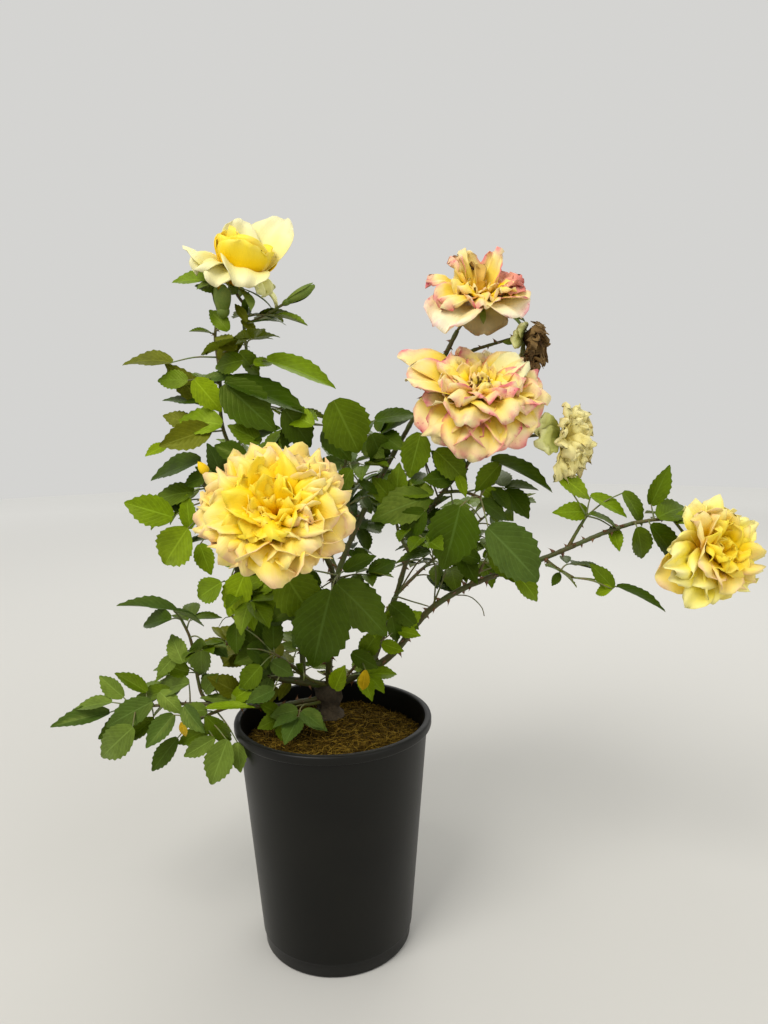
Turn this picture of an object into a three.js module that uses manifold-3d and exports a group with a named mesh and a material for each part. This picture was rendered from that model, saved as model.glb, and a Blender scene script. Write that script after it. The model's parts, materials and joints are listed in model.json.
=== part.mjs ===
// A rose bush in a black nursery pot: the pot full of compost, a short knuckled trunk, thorny canes that
// arch out of it, leafy shoots that grow on from the canes, and the roses, spent blooms and buds.
// Millimetres, +Z up. The origin is the middle of the pot's flat underside, and the front is -Y.

import * as THREE from "three";
import { mergeVertices } from "three/addons/utils/BufferGeometryUtils.js";
import Module from "manifold-3d";

const wasm = await Module();
wasm.setup();

// Driving dimensions

// The clearance between any two solids.
const GAP = 0.3;

const POT = {
  height: 236,
  footRadius: 75.5,
  rimRadius: 100,
  rimProud: 4.5,
  rimDrop: 9,
  footBand: 15,
  step: 1,
  edge: 1.5,
  wall: 2.2,
  floor: 3,
  sides: 32,
};

// The compost's top is nearly level as far as its shoulder, and heaped a little in the middle.
const COMPOST = { top: 212, crown: 6, clear: 0.2, shoulder: 0.8, heap: 0.35 };

// The trunk bends as it rises: pairs of how far up it is and how much of its lean it has taken.
const TRUNK = {
  at: [-8, 41],
  lean: [1, 0],
  bend: [[0, 0], [0.15, 0], [0.6, 0.5], [1, 1]],
  top: 253,
  foot: 18,
  waist: 11,
  knuckle: 15,
  sides: 12,
  steps: 7,
};

// The sides of a limb, the steps along it and, for the green stems, the radius at each end.
const CANE = { sides: 6, steps: 2 };
const STEM = { thick: [2, 1.4], sides: 5, steps: 4 };
const BLOOM_STEM = { thick: [1.7, 1.9], sides: 5, steps: 2 };
const BUD_STEM = { thick: [1.2, 1.2], sides: 4, steps: 2 };

// How a limb's start is cut back from what it leaves: by steps, to the most that may go, and then finely.
const CUT = { step: 1.5, most: 40, passes: 6 };

// Breadth, fold and thickness are shares of a leaflet's length. The side leaflets lean off the rib by the
// spread, and each pair is a little shorter than the one above it.
const LEAF = {
  breadth: 0.76,
  widest: 0.42,
  thick: 0.035,
  fold: 0.12,
  droop: 0.14,
  rib: 0.9,
  arch: 0.12,
  joint: 2.2,
  endShare: 0.85,
  pairRoom: 9,
  pairStep: 0.62,
  pairLongest: 44,
  pairShare: [0.88, 0.1],
  spread: 60,
  sway: 18,
};

// A leaf of its own that a shoot fills its room with: its end leaflet and its reach, least and most.
const FILL = { from: 0.3, size: [30, 44], reach: [1.7, 2.4], forward: 0.35, droop: 0.12, tilt: 40 };

// How far along the line of sight an aimed leaf may be moved to find room.
const SHIFTS = [0, 8, -8, 16, -16, 24, -24];

const GOLDEN_ANGLE = 137.5;
const PETAL = { thick: 1.2, breadth: 0.95, widest: 0.55, sway: 16 };
const HEART = { wide: 1.1, high: 0.74, up: 0.36 };
const SEPAL = { count: 5, first: 20, lean: [70, 130], widest: 0.4, half: 0.3 };

// Where the photographer's eye was. A spot is read off the upright plane through the pot's axis, as seen
// from the eye, and is then drawn toward the eye along the line of sight: across, up and toward.
const EYE = new THREE.Vector3(55, -752, 542);
const UP = new THREE.Vector3(0, 0, 1);
const FRONT = new THREE.Vector3(0, -1, 0);

const radians = THREE.MathUtils.degToRad;
const mix = THREE.MathUtils.lerp;

const spot = ([across, up, toward]) => new THREE.Vector3(across, 0, up).lerp(EYE, toward / -EYE.y);

// The reverse: how far across, up and toward a place is, as the eye sees it.
function seen(place) {
  const toward = -place.y;
  const share = toward / -EYE.y;
  return [(place.x - share * EYE.x) / (1 - share), (place.z - share * EYE.z) / (1 - share), toward];
}

// A small seeded generator, so that the bush grows the same way each time.
function seeded(seed) {
  let state = seed | 0;
  return () => {
    state = (state + 0x6d2b79f5) | 0;
    let mixed = Math.imul(state ^ (state >>> 15), 1 | state);
    mixed = (mixed + Math.imul(mixed ^ (mixed >>> 7), 61 | mixed)) ^ mixed;
    return ((mixed ^ (mixed >>> 14)) >>> 0) / 4294967296;
  };
}

// Canes: the stout limbs. Each leaves the trunk or another cane and ends where its shoots or bloom begin.

const CANES = [
  {
    name: "cane_left",
    thick: [4.2, 2.4],
    from: ["trunk", 0.95],
    via: [
      [-34, 271, -26],
      [-62, 278, -13],
      [-83, 294, -5],
      [-87, 325, -2],
      [-93, 420, -4],
      [-92, 503, -8],
    ],
  },
  {
    name: "cane_low_left",
    thick: [2.8, 2],
    from: ["trunk", 0.59],
    via: [[-30, 250, -26], [-56, 246, -10], [-80, 245, 0], [-104, 246, 6]],
  },
  {
    name: "cane_front",
    thick: [3.4, 2.4],
    from: ["trunk", 0.85],
    via: [
      [-3, 300, -22],
      [0, 336, -4],
      [4, 368, 12],
      [0, 392, 32],
      [-16, 414, 58],
      [-33, 427, 74],
    ],
  },
  {
    name: "cane_back",
    thick: [3.6, 2.1],
    from: ["trunk", 0.77],
    via: [
      [-2, 300, -56],
      [5, 370, -64],
      [26, 425, -66],
      [56, 484, -60],
      [87, 538, -46],
      [128, 617, -24],
    ],
  },
  {
    name: "cane_right",
    thick: [4, 2],
    from: ["trunk", 0.81],
    via: [
      [24, 276, -41],
      [58, 295, -38],
      [99, 343, -30],
      [138, 367, -18],
      [213, 394, 2],
      [276, 420, 18],
      [301, 428, 24],
    ],
  },
  {
    name: "cane_centre",
    thick: [3, 1.9],
    from: ["cane_right", 0.14],
    via: [
      [47, 304, -44],
      [63, 350, -46],
      [85, 415, -34],
      [112, 460, -18],
      [138, 490, -6],
      [149, 508, 2],
    ],
  },
  {
    name: "cane_spent_bloom",
    thick: [1.9, 1.5],
    from: ["cane_back", 0.92],
    via: [[131, 594, -30], [152, 601, -28], [186, 610, -24]],
  },
  {
    name: "stub_inner",
    thick: [3.2, 2.6],
    from: ["cane_left", 0.1],
    via: [[-30, 300, -26], [-38, 338, -20]],
  },
  {
    name: "stub_outer",
    thick: [2.8, 2.4],
    from: ["cane_left", 0.32],
    via: [[-95, 304, 0], [-105, 315, 4]],
  },
];

// Foliage: each shoot is a stem that leaves a cane, the room it keeps to (across, up and toward, low and
// high) and its leaves. A leaf is aimed at the spot where its tip shows: how far along the stem it leaves,
// the tip (across, up, toward), how many leaflets, how long the end leaflet is, and how far it faces the
// eye in degrees from facing the sky. The shoot then fills its room with leaves set by a seeded rule.

const SHOOTS = [
  {
    name: "foliage_left_outer",
    from: ["cane_left", 1],
    via: [[-101, 532, -9], [-101, 580, -10], [-104, 615, -10], [-100, 636, -10]],
    room: [[-195, -60], [500, 672], [-60, 60]],
    leaves: [
      [0.12, -194, 597, 12, 7, 36, 40],
      [0.3, -163, 571, -8, 5, 36, 30],
      [0.02, -160, 523, 14, 5, 34, 60],
      [0.97, -143, 671, 0, 3, 36, 50],
      [0.8, -126, 620, 8, 3, 26, 50],
    ],
    fill: 1,
  },
  {
    name: "foliage_left_inner",
    from: ["cane_left", 1],
    via: [[-67, 542, -4], [-72, 580, -8], [-76, 620, -10], [-76, 646, -10]],
    room: [[-125, 15], [500, 640], [-70, 60]],
    leaves: [
      [0.45, 12, 575, 14, 5, 60, 50],
      [0.25, -9, 538, 8, 5, 54, 60],
      [0.8, -15, 625, 0, 3, 38, 40],
      [0.12, -47, 530, 24, 3, 46, 50],
      [0.6, -112, 588, 20, 3, 46, 40],
    ],
    fill: 1,
  },
  {
    name: "foliage_left_middle",
    from: ["cane_left", 0.76],
    via: [[-110, 448, 2], [-120, 470, 2], [-122, 490, 0]],
    room: [[-198, -70], [390, 560], [-70, 50]],
    leaves: [
      [0.9, -173, 510, 4, 5, 42, 50],
      [0.8, -174, 479, 20, 3, 40, 40],
      [0.45, -197, 450, 26, 3, 46, 75],
      [0.1, -166, 392, 24, 5, 40, 80],
    ],
    fill: 1,
  },
  {
    name: "foliage_left_lower",
    from: ["cane_left", 0.5],
    via: [[-98, 362, 10], [-102, 374, 20]],
    room: [[-140, 10], [325, 440], [-40, 70]],
    leaves: [
      [0.7, -130, 357, 30, 3, 32, 70],
      [0.5, -106, 340, 34, 3, 38, 75],
      [0.9, -50, 343, 46, 5, 36, 70],
    ],
    fill: 1,
  },
  {
    name: "foliage_front",
    from: ["cane_front", 0.55],
    via: [[10, 374, 24], [8, 380, 42]],
    room: [[-70, 100], [270, 410], [-30, 110]],
    leaves: [
      [1, -24, 275, 84, 3, 80, 75],
      [0.95, 60, 324, 62, 3, 62, 65],
      [0.55, 64, 390, 30, 5, 30, 40],
      [0.8, -62, 338, 66, 3, 56, 65],
    ],
    fill: 0,
  },
  {
    name: "foliage_low_left_far",
    from: ["cane_low_left", 1],
    via: [[-138, 249, 10], [-175, 248, 14], [-205, 245, 18]],
    room: [[-295, -100], [180, 290], [-60, 70]],
    leaves: [
      [1, -293, 231, 22, 7, 36, 50],
      [0.75, -238, 273, 4, 5, 30, 50],
      [0.85, -240, 196, 40, 5, 44, 65],
      [0.45, -194, 181, 34, 5, 42, 65],
    ],
    fill: 0,
  },
  {
    name: "foliage_low_left_near",
    from: ["cane_low_left", 1],
    via: [[-125, 238, 24], [-140, 231, 36]],
    room: [[-200, -80], [160, 260], [-20, 100]],
    leaves: [
      [1, -121, 163, 58, 5, 62, 70],
      [0.8, -195, 208, 50, 5, 40, 65],
      [0.5, -150, 246, 44, 3, 26, 50],
    ],
    fill: 0,
  },
  {
    name: "foliage_low_left_upright",
    from: ["cane_low_left", 1],
    via: [[-130, 254, 2], [-138, 285, 0], [-142, 317, 0], [-150, 337, 0]],
    room: [[-215, -100], [260, 365], [-60, 60]],
    leaves: [
      [1, -211, 360, 2, 7, 30, 40],
      [0.85, -184, 336, 12, 3, 30, 50],
      [0.7, -168, 304, 18, 3, 30, 60],
      [0.5, -176, 282, 18, 3, 30, 60],
      [0.6, -120, 316, 14, 3, 30, 60],
      [0.3, -116, 276, 16, 3, 28, 60],
    ],
    fill: 1,
  },
  {
    name: "foliage_in_pot",
    from: ["trunk", 0.5],
    via: [[-20, 247, -22], [-30, 246, -4]],
    room: [[-85, 0], [195, 262], [-40, 62]],
    leaves: [
      [1, -46, 206, 44, 5, 34, 75],
      [0.8, -78, 222, 20, 3, 24, 60],
    ],
    fill: 0,
  },
  {
    name: "foliage_crown_left",
    from: ["trunk", 0.9],
    via: [[-28, 276, -12], [-44, 290, 0], [-58, 300, 6]],
    room: [[-112, 0], [262, 345], [-50, 50]],
    leaves: [
      [0.9, -102, 322, 10, 5, 34, 60],
      [0.6, -96, 272, 18, 3, 30, 60],
      [0.5, -24, 284, 20, 3, 34, 60],
      [1, -60, 340, 10, 3, 34, 50],
    ],
    fill: 1,
  },
  {
    name: "foliage_crown_right",
    from: ["trunk", 0.67],
    via: [[14, 275, -18], [28, 292, -8]],
    room: [[-10, 96], [258, 350], [-60, 50]],
    leaves: [
      [0.5, 16, 262, 16, 3, 26, 75],
      [0.75, 42, 262, 10, 3, 22, 75],
      [1, 48, 322, -2, 3, 40, 60],
      [1, 90, 343, -12, 5, 28, 50],
    ],
    fill: 0,
  },
  {
    name: "foliage_centre_top",
    from: ["cane_back", 0.44],
    via: [[20, 450, -48], [18, 485, -38], [22, 520, -32]],
    room: [[-45, 100], [425, 556], [-90, 60]],
    leaves: [
      [1, 31, 502, 14, 5, 58, 65],
      [0.8, 86, 540, -20, 5, 40, 40],
      [0.5, 62, 474, 0, 3, 50, 60],
      [0.9, -42, 548, -16, 5, 38, 40],
    ],
    fill: 1,
  },
  {
    name: "foliage_centre",
    from: ["cane_centre", 0.49],
    via: [[70, 420, -20], [66, 440, -8]],
    room: [[20, 125], [385, 515], [-60, 60]],
    leaves: [
      [0.9, 36, 424, 16, 5, 40, 60],
      [1, 100, 456, 12, 3, 38, 60],
      [0.5, 99, 402, 0, 3, 30, 50],
      [1, 74, 488, 0, 5, 38, 50],
    ],
    fill: 1,
  },
  {
    name: "foliage_centre_right",
    from: ["cane_centre", 0.77],
    via: [[132, 462, -4], [150, 456, 8]],
    room: [[95, 262], [350, 520], [-60, 70]],
    leaves: [
      [0.5, 116, 386, 40, 3, 60, 80],
      [1, 212, 370, 36, 5, 76, 72],
      [0.9, 224, 484, 6, 7, 40, 40],
      [0.8, 168, 400, 14, 3, 40, 70],
      [0.5, 104, 504, -6, 5, 34, 40],
    ],
    fill: 0,
  },
  {
    name: "foliage_right_lower",
    from: ["cane_right", 0.53],
    via: [[148, 380, -10], [154, 391, -4]],
    room: [[110, 220], [345, 420], [-60, 50]],
    leaves: [
      [1, 126, 404, 2, 3, 32, 60],
      [1, 187, 372, 10, 3, 34, 60],
      [0.7, 216, 352, 16, 5, 34, 60],
    ],
    fill: 0,
  },
  {
    name: "foliage_right_middle",
    from: ["cane_right", 0.82],
    via: [[246, 421, 10], [255, 436, 12]],
    room: [[205, 300], [395, 492], [-40, 60]],
    leaves: [
      [1, 238, 488, 8, 5, 36, 60],
      [1, 296, 457, 14, 5, 34, 50],
      [0.6, 292, 402, 20, 3, 24, 50],
    ],
    fill: 0,
  },
  {
    name: "foliage_right_low",
    from: ["cane_right", 0.75],
    via: [[226, 384, 8], [243, 374, 12]],
    room: [[205, 340], [335, 396], [-40, 60]],
    leaves: [
      [1, 337, 345, 18, 7, 52, 50],
      [0.6, 222, 366, 14, 3, 28, 50],
    ],
    fill: 0,
  },
  {
    name: "foliage_right_end",
    from: ["cane_right", 1],
    via: [[322, 431, 27], [340, 432, 29]],
    room: [[285, 370], [385, 485], [-40, 80]],
    leaves: [
      [0.1, 303, 467, 22, 3, 30, 50],
      [0.5, 325, 483, 18, 3, 34, 50],
      [0.7, 357, 458, 14, 5, 34, 40],
      [0.2, 308, 392, 36, 3, 34, 70],
      [0.7, 338, 391, 30, 3, 36, 70],
    ],
    fill: 0,
  },
  {
    name: "foliage_back_left",
    from: ["cane_left", 0.65],
    via: [[-97, 425, -50], [-90, 465, -100], [-70, 500, -140]],
    room: [[-165, 10], [345, 560], [-230, -14]],
    leaves: [],
    fill: 6,
  },
  {
    name: "foliage_back_centre",
    from: ["cane_back", 0.31],
    via: [[2, 405, -104], [12, 440, -145], [34, 480, -180]],
    room: [[-70, 96], [330, 545], [-270, -50]],
    leaves: [],
    fill: 6,
  },
  {
    name: "foliage_back_right",
    from: ["cane_centre", 0.31],
    via: [[92, 385, -86], [125, 412, -124], [158, 440, -150]],
    room: [[50, 225], [362, 500], [-240, -50]],
    leaves: [],
    fill: 5,
  },
  {
    name: "foliage_back_low",
    from: ["trunk", 0.48],
    via: [[-24, 274, -84], [-50, 296, -120], [-80, 320, -150]],
    room: [[-165, 60], [262, 350], [-230, -46]],
    leaves: [],
    fill: 4,
  },
];

// Blooms and buds: the pedicel's course ends at the hip, and the bloom opens the way it faces (to the
// right, to the front and up). Open is how far the outer petals lean off that way, in degrees, and reach is
// the longest petal.

const BLOOMS = [
  {
    name: "bloom_front",
    from: ["cane_front", 1],
    via: [[-41, 432, 84], [-50, 437, 90]],
    faces: [-0.14, 0.95, 0.1],
    reach: 86,
    petals: 11,
    open: 98,
    hip: 7,
    material: "yellow_petal",
  },
  {
    name: "bloom_top_left",
    from: ["foliage_left_inner", 1],
    via: [[-77, 656, -8], [-77, 664, -6]],
    faces: [0.02, 0.35, 0.9],
    reach: 74,
    petals: 7,
    open: 76,
    sepal: 30,
    hip: 6,
    material: "yellow_petal",
  },
  {
    name: "bloom_top_right",
    from: ["cane_back", 1],
    via: [[137, 628, -20], [143, 637, -16]],
    faces: [0.1, 0.5, 0.85],
    reach: 66,
    petals: 9,
    open: 108,
    hip: 6,
    material: "blush_petal",
  },
  {
    name: "bloom_upper_right",
    from: ["cane_centre", 1],
    via: [[149, 520, 10], [146, 530, 16]],
    faces: [-0.04, 0.75, 0.55],
    reach: 82,
    petals: 10,
    open: 112,
    hip: 6.5,
    material: "blush_petal",
  },
  {
    name: "bloom_far_right",
    from: ["foliage_right_end", 1],
    via: [[350, 428, 31], [357, 417, 34]],
    faces: [0.62, 0.7, -0.4],
    reach: 76,
    petals: 9,
    open: 96,
    hip: 6.5,
    material: "yellow_petal",
  },
  {
    name: "bloom_spent_brown",
    from: ["cane_spent_bloom", 1],
    via: [[194, 611, -22], [198, 611, -20]],
    faces: [0.6, 0.5, -0.45],
    reach: 34,
    petals: 6,
    open: 84,
    hip: 5,
    material: "spent_petal",
  },
  {
    name: "bloom_spent_cream",
    from: ["cane_centre", 0.96],
    via: [[170, 510, -14], [200, 524, -10], [212, 526, -4]],
    faces: [0.7, 0.5, -0.35],
    reach: 50,
    petals: 7,
    open: 112,
    hip: 7,
    material: "blush_petal",
  },
];

const BUDS = [
  {
    name: "bud_top_left",
    from: ["foliage_left_outer", 1],
    via: [[-103, 640, 0], [-104, 644, 6]],
    faces: [0, 0.3, 1],
    long: 24,
    wide: 16,
  },
  {
    name: "bud_reddish",
    from: ["foliage_left_inner", 0.87],
    via: [[-60, 634, -6], [-38, 645, -2]],
    faces: [1, 0.2, 0.4],
    long: 26,
    wide: 14,
  },
  {
    name: "bud_left",
    from: ["cane_left", 0.89],
    via: [[-106, 474, 14], [-116, 480, 24]],
    faces: [0, 0.3, 0.9],
    long: 18,
    wide: 11,
  },
];

// Solids and meshes

function solidOf(geometry) {
  const bare = geometry.clone();
  bare.deleteAttribute("normal");
  bare.deleteAttribute("uv");
  const merged = mergeVertices(bare, 1e-4);
  return new wasm.Manifold(
    new wasm.Mesh({
      numProp: 3,
      vertProperties: new Float32Array(merged.attributes.position.array),
      triVerts: new Uint32Array(merged.index.array),
    }),
  );
}

// Joins the pieces and keeps the largest body, so that no loose scrap and no sealed hollow is left.
function fused(pieces, fine = 0.45) {
  const joined = wasm.Manifold.union(pieces).simplify(fine);
  return joined.decompose().reduce((best, body) => (body.volume() > best.volume() ? body : best));
}

const MATERIALS = {
  pot: new THREE.MeshStandardMaterial({ color: 0x17191a, roughness: 0.42, metalness: 0 }),
  compost: new THREE.MeshStandardMaterial({ color: 0x4a3019, roughness: 0.95, metalness: 0 }),
  bark: new THREE.MeshStandardMaterial({ color: 0x4a4a22, roughness: 0.7, metalness: 0 }),
  leaf: new THREE.MeshStandardMaterial({ color: 0x2f5a17, roughness: 0.45, metalness: 0 }),
  yellow_petal: new THREE.MeshStandardMaterial({ color: 0xf2cf4a, roughness: 0.6, metalness: 0 }),
  blush_petal: new THREE.MeshStandardMaterial({ color: 0xefd29f, roughness: 0.6, metalness: 0 }),
  spent_petal: new THREE.MeshStandardMaterial({ color: 0x7d5a30, roughness: 0.85, metalness: 0 }),
};

const root = new THREE.Group();
root.name = "potted_rose_bush";

// What already stands, so that a limb, leaf or petal that would touch it can be moved or skipped.
const standing = [];

function place(name, solid, material) {
  const made = solid.getMesh();
  const geometry = new THREE.BufferGeometry();
  geometry.setAttribute("position", new THREE.BufferAttribute(new Float32Array(made.vertProperties), 3));
  geometry.setIndex(new THREE.BufferAttribute(new Uint32Array(made.triVerts), 1));
  geometry.computeVertexNormals();
  const mesh = new THREE.Mesh(geometry, MATERIALS[material].clone());
  mesh.name = name;
  root.add(mesh);
}

function stand(name, solid) {
  const box = solid.boundingBox();
  standing.push({ name, solid, box });
}

// The name of something that stands within the gap of a solid, or nothing.
function touched(solid, own = "") {
  const box = solid.boundingBox();
  const below = (low, high) => [0, 1, 2].every((i) => low.min[i] < high.max[i] + GAP);
  const near = (other) => below(box, other) && below(other, box);
  const found = standing.find(
    (body) => body.name !== own && near(body.box) && body.solid.minGap(solid, GAP + 0.05) < GAP,
  );
  return found?.name;
}

// A thin lens: a ball of one ring and two poles, with its ring laid along a rim and its poles on the two
// faces. The rim runs anticlockwise as seen from the upper pole.
function lens(rim, upper, lower) {
  const geometry = new THREE.SphereGeometry(1, rim.length, 2);
  const position = geometry.attributes.position;
  const columns = rim.length + 1;
  for (let i = 0; i < position.count; i += 1) {
    const ring = rim[(i % columns) % rim.length];
    const at = [upper, ring, lower][Math.floor(i / columns)];
    position.setXYZ(i, at.x, at.y, at.z);
  }
  return solidOf(geometry);
}

const curve = (points) => new THREE.CatmullRomCurve3(points, false, "centripetal");

// Every limb's course, by name. One that springs from another starts on that one's axis.
const courses = {};

function addCourse({ name, from: [parent, share], via }) {
  courses[name] = [curve(courses[parent]).getPointAt(share), ...via.map(spot)];
  return courses[name];
}

// A tapering limb: a cylinder bent along a smooth course, from a share of that course to its end.
function limb(course, thick, sides, steps, start = 0) {
  const shares = Array.from({ length: steps + 1 }, (_, i) => mix(start, 1, i / steps));
  const path = curve(course);
  const cut = curve(shares.map((share) => path.getPointAt(share)));
  const frames = cut.computeFrenetFrames(steps);
  const geometry = new THREE.CylinderGeometry(1, 1, 1, sides, steps);
  const position = geometry.attributes.position;
  const corner = new THREE.Vector3();
  for (let i = 0; i < position.count; i += 1) {
    corner.fromBufferAttribute(position, i);
    const step = Math.round((corner.y + 0.5) * steps);
    const radius = typeof thick === "function" ? thick(shares[step]) : mix(thick[0], thick[1], shares[step]);
    const at = cut.getPointAt(step / steps);
    at.addScaledVector(frames.normals[step], corner.x * radius);
    at.addScaledVector(frames.binormals[step], -corner.z * radius);
    position.setXYZ(i, at.x, at.y, at.z);
  }
  return solidOf(geometry);
}

// A limb whose start is cut back along its own course until it stands the gap clear of what it leaves.
function clearLimb(course, { thick, sides, steps }) {
  const length = curve(course).getLength();
  const cutBy = (cut) => limb(course, thick, sides, steps, cut / length);
  let touching = 0;
  let clear = 0;
  while (touched(cutBy(clear)) && clear < CUT.most) {
    touching = clear;
    clear += CUT.step;
  }
  for (let pass = 0; pass < CUT.passes && clear > 0; pass += 1) {
    const middle = 0.5 * (touching + clear);
    if (touched(cutBy(middle))) touching = middle;
    else clear = middle;
  }
  return cutBy(clear);
}

// Pot, compost and trunk

function lathe(profile, sides) {
  const points = profile.map(([radius, height]) => new THREE.Vector2(radius, height));
  return solidOf(new THREE.LatheGeometry(points, sides).rotateX(Math.PI / 2));
}

const wallRadius = (height) => mix(POT.footRadius, POT.rimRadius - POT.rimProud, height / POT.height);

function potSolid() {
  const { height, footRadius, rimRadius, rimDrop, footBand, step, edge, wall, floor } = POT;
  const band = height - rimDrop;
  return lathe(
    [
      [0, 0],
      [footRadius - edge, 0],
      [footRadius, 2],
      [wallRadius(footBand), footBand],
      [wallRadius(footBand) + step, footBand + step],
      [wallRadius(band) + step, band],
      [rimRadius, band + step],
      [rimRadius, height - edge],
      [rimRadius - edge, height],
      [wallRadius(height) - wall, height - step],
      [wallRadius(floor) - wall, floor],
      [0, floor],
    ],
    POT.sides,
  );
}

function compostSolid() {
  const { top, crown, clear, shoulder, heap } = COMPOST;
  const low = POT.floor + GAP;
  const reach = (height) => wallRadius(height) - POT.wall - GAP - clear;
  return lathe(
    [
      [0, low],
      [reach(low), low],
      [reach(top), top],
      [shoulder * reach(top), top + 0.7 * crown],
      [heap * reach(top), top + crown],
      [0, top + crown],
    ],
    POT.sides,
  );
}

// The trunk flares at the compost and swells again to the knuckle that the canes spring from.
function trunkSolid() {
  const { at, lean, bend, top, foot, waist, knuckle, sides, steps } = TRUNK;
  const ground = COMPOST.top + COMPOST.crown + GAP;
  courses.trunk = bend.map(([rise, taken]) => {
    const height = mix(ground, top, rise);
    return new THREE.Vector3(at[0] + taken * lean[0], at[1] + taken * lean[1], height);
  });
  const radius = (share) => {
    const flare = (foot - waist) * Math.max(0, 1 - share / 0.4) ** 2;
    const swell = (knuckle - waist) * Math.sin(Math.PI * THREE.MathUtils.clamp((share - 0.3) / 0.95, 0, 1));
    return waist + flare + swell;
  };
  return limb(courses.trunk, radius, sides, steps);
}

// Leaves

// A leaflet is widest below its middle, folds up at its edges and droops at its tip.
function leafletPoint({ base, along, face, length }, share, out, lift) {
  const breadth = LEAF.breadth * length;
  const side = new THREE.Vector3().crossVectors(along, face);
  const rise = LEAF.fold * breadth * Math.abs(out) - LEAF.droop * length * share * share + lift;
  const point = base.clone().addScaledVector(along, share * length);
  return point.addScaledVector(side, out * breadth).addScaledVector(face, rise);
}

function endLeafletSolid(leaflet) {
  const rim = [[-0.03, 0], [LEAF.widest, 0.5], [1, 0], [LEAF.widest, -0.5]];
  const half = 0.5 * LEAF.thick * leaflet.length;
  return lens(
    rim.map(([share, out]) => leafletPoint(leaflet, share, out, 0)),
    leafletPoint(leaflet, LEAF.widest, 0, half),
    leafletPoint(leaflet, LEAF.widest, 0, -half),
  );
}

// The two leaflets of a pair are one solid across the rib, narrow where they meet.
function pairSolid([left, right], run, face) {
  const half = LEAF.rib + 0.4;
  const middle = left.base;
  const edge = [[0.55, -0.45], [1, 0], [0.5, 0.45]];
  const lobe = (leaflet) => edge.map(([share, out]) => leafletPoint(leaflet, share, out, 0));
  const rim = [
    ...lobe(right).reverse(),
    middle.clone().addScaledVector(run, LEAF.joint),
    ...lobe(left).reverse(),
    middle.clone().addScaledVector(run, -LEAF.joint),
  ];
  return lens(rim, middle.clone().addScaledVector(face, half), middle.clone().addScaledVector(face, -half));
}

// The way a leaf's upper side looks: the sky at 0 degrees, the eye at 90, and square to the leaf's run.
function facing(run, degrees) {
  const look = UP.clone().multiplyScalar(Math.cos(radians(degrees)));
  look.addScaledVector(FRONT, Math.sin(radians(degrees)));
  look.addScaledVector(run, -look.dot(run));
  return look.normalize();
}

// A rose leaf: a rib that ends in one leaflet, whose tip is given, with pairs of leaflets below it.
function leafPlan(base, tip, leaflets, size, degrees, random) {
  const run = tip.clone().sub(base);
  const span = run.length();
  run.normalize();
  const look = facing(run, degrees);
  const side = new THREE.Vector3().crossVectors(run, look);
  const end = Math.min(size, LEAF.endShare * span);
  const stalk = span - end;
  const ribAt = (share) => {
    const arch = LEAF.arch * stalk * Math.sin(Math.PI * share);
    return base.clone().addScaledVector(run, share * stalk).addScaledVector(look, arch);
  };
  const plan = { run, look, rib: [0, 0.5, 1].map(ribAt), pairs: [] };
  plan.end = { base: ribAt(1), along: run, face: look, length: end };
  const count = Math.min((leaflets - 1) / 2, Math.floor(stalk / LEAF.pairRoom));
  for (let i = 0; i < count; i += 1) {
    const share = 1 - (0.1 + LEAF.pairStep * i) / Math.max(1, count - 0.4);
    const [first, less] = LEAF.pairShare;
    const pair = [-1, 1].map((hand) => {
      const angle = radians(LEAF.spread + LEAF.sway * (random() - 0.5));
      const along = run.clone().multiplyScalar(Math.cos(angle));
      along.addScaledVector(side, hand * Math.sin(angle));
      const length = Math.min(end, LEAF.pairLongest) * (first - less * i) * mix(0.9, 1.1, random());
      return { base: ribAt(share), along, face: look, length };
    });
    plan.pairs.push(pair);
  }
  return plan;
}

const keepsTo = (room, { base, along, length }) => {
  const tip = seen(base.clone().addScaledVector(along, length));
  return room.every(([low, high], i) => tip[i] >= low - 2 && tip[i] <= high + 2);
};

// The rib and those leaflets of a leaf that touch nothing and keep to the room. Nothing if the rib can't
// stand or the end leaflet is left out.
function leafSolids(plan, own, room) {
  const rib = limb(plan.rib, [LEAF.rib + 0.3, LEAF.rib], 3, 1);
  const end = endLeafletSolid(plan.end);
  if (!keepsTo(room, plan.end) || touched(rib, own) || touched(end, own)) return null;
  const pairs = plan.pairs
    .filter((pair) => pair.every((leaflet) => keepsTo(room, leaflet)))
    .map((pair) => pairSolid(pair, plan.run, plan.look))
    .filter((pair) => !touched(pair, own));
  return [rib, end, ...pairs];
}

// A leaf aimed at a spot is tried there first, and then a little nearer or farther along the line of sight.
function aimedLeaf(shoot, course, leaf, random) {
  const [share, across, up, toward, leaflets, size, degrees] = leaf;
  for (const shift of SHIFTS) {
    const tip = spot([across, up, toward + shift]);
    const plan = leafPlan(curve(course).getPointAt(share), tip, leaflets, size, degrees, random);
    const solids = leafSolids(plan, shoot.name, shoot.room);
    if (solids) return solids;
  }
  return [];
}

// The leaves that fill a shoot's room leave its stem in turn round it, a golden angle apart.
function filledLeaf(shoot, course, index, random) {
  const path = curve(course);
  const share = mix(FILL.from, 1, (index + 0.5) / shoot.fill);
  const tangent = path.getTangentAt(share);
  const turn = radians(GOLDEN_ANGLE * index + 40 * random());
  const level = new THREE.Vector3(Math.cos(turn), Math.sin(turn), 0.1);
  const out = level.addScaledVector(tangent, FILL.forward - level.dot(tangent)).normalize();
  const size = mix(...FILL.size, random());
  const reach = size * mix(...FILL.reach, random());
  const base = path.getPointAt(share);
  const tip = base.clone().addScaledVector(out, reach).addScaledVector(UP, -FILL.droop * reach);
  const plan = leafPlan(base, tip, 3, size, mix(0, FILL.tilt, random()), random);
  return leafSolids(plan, shoot.name, shoot.room) ?? [];
}

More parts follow.
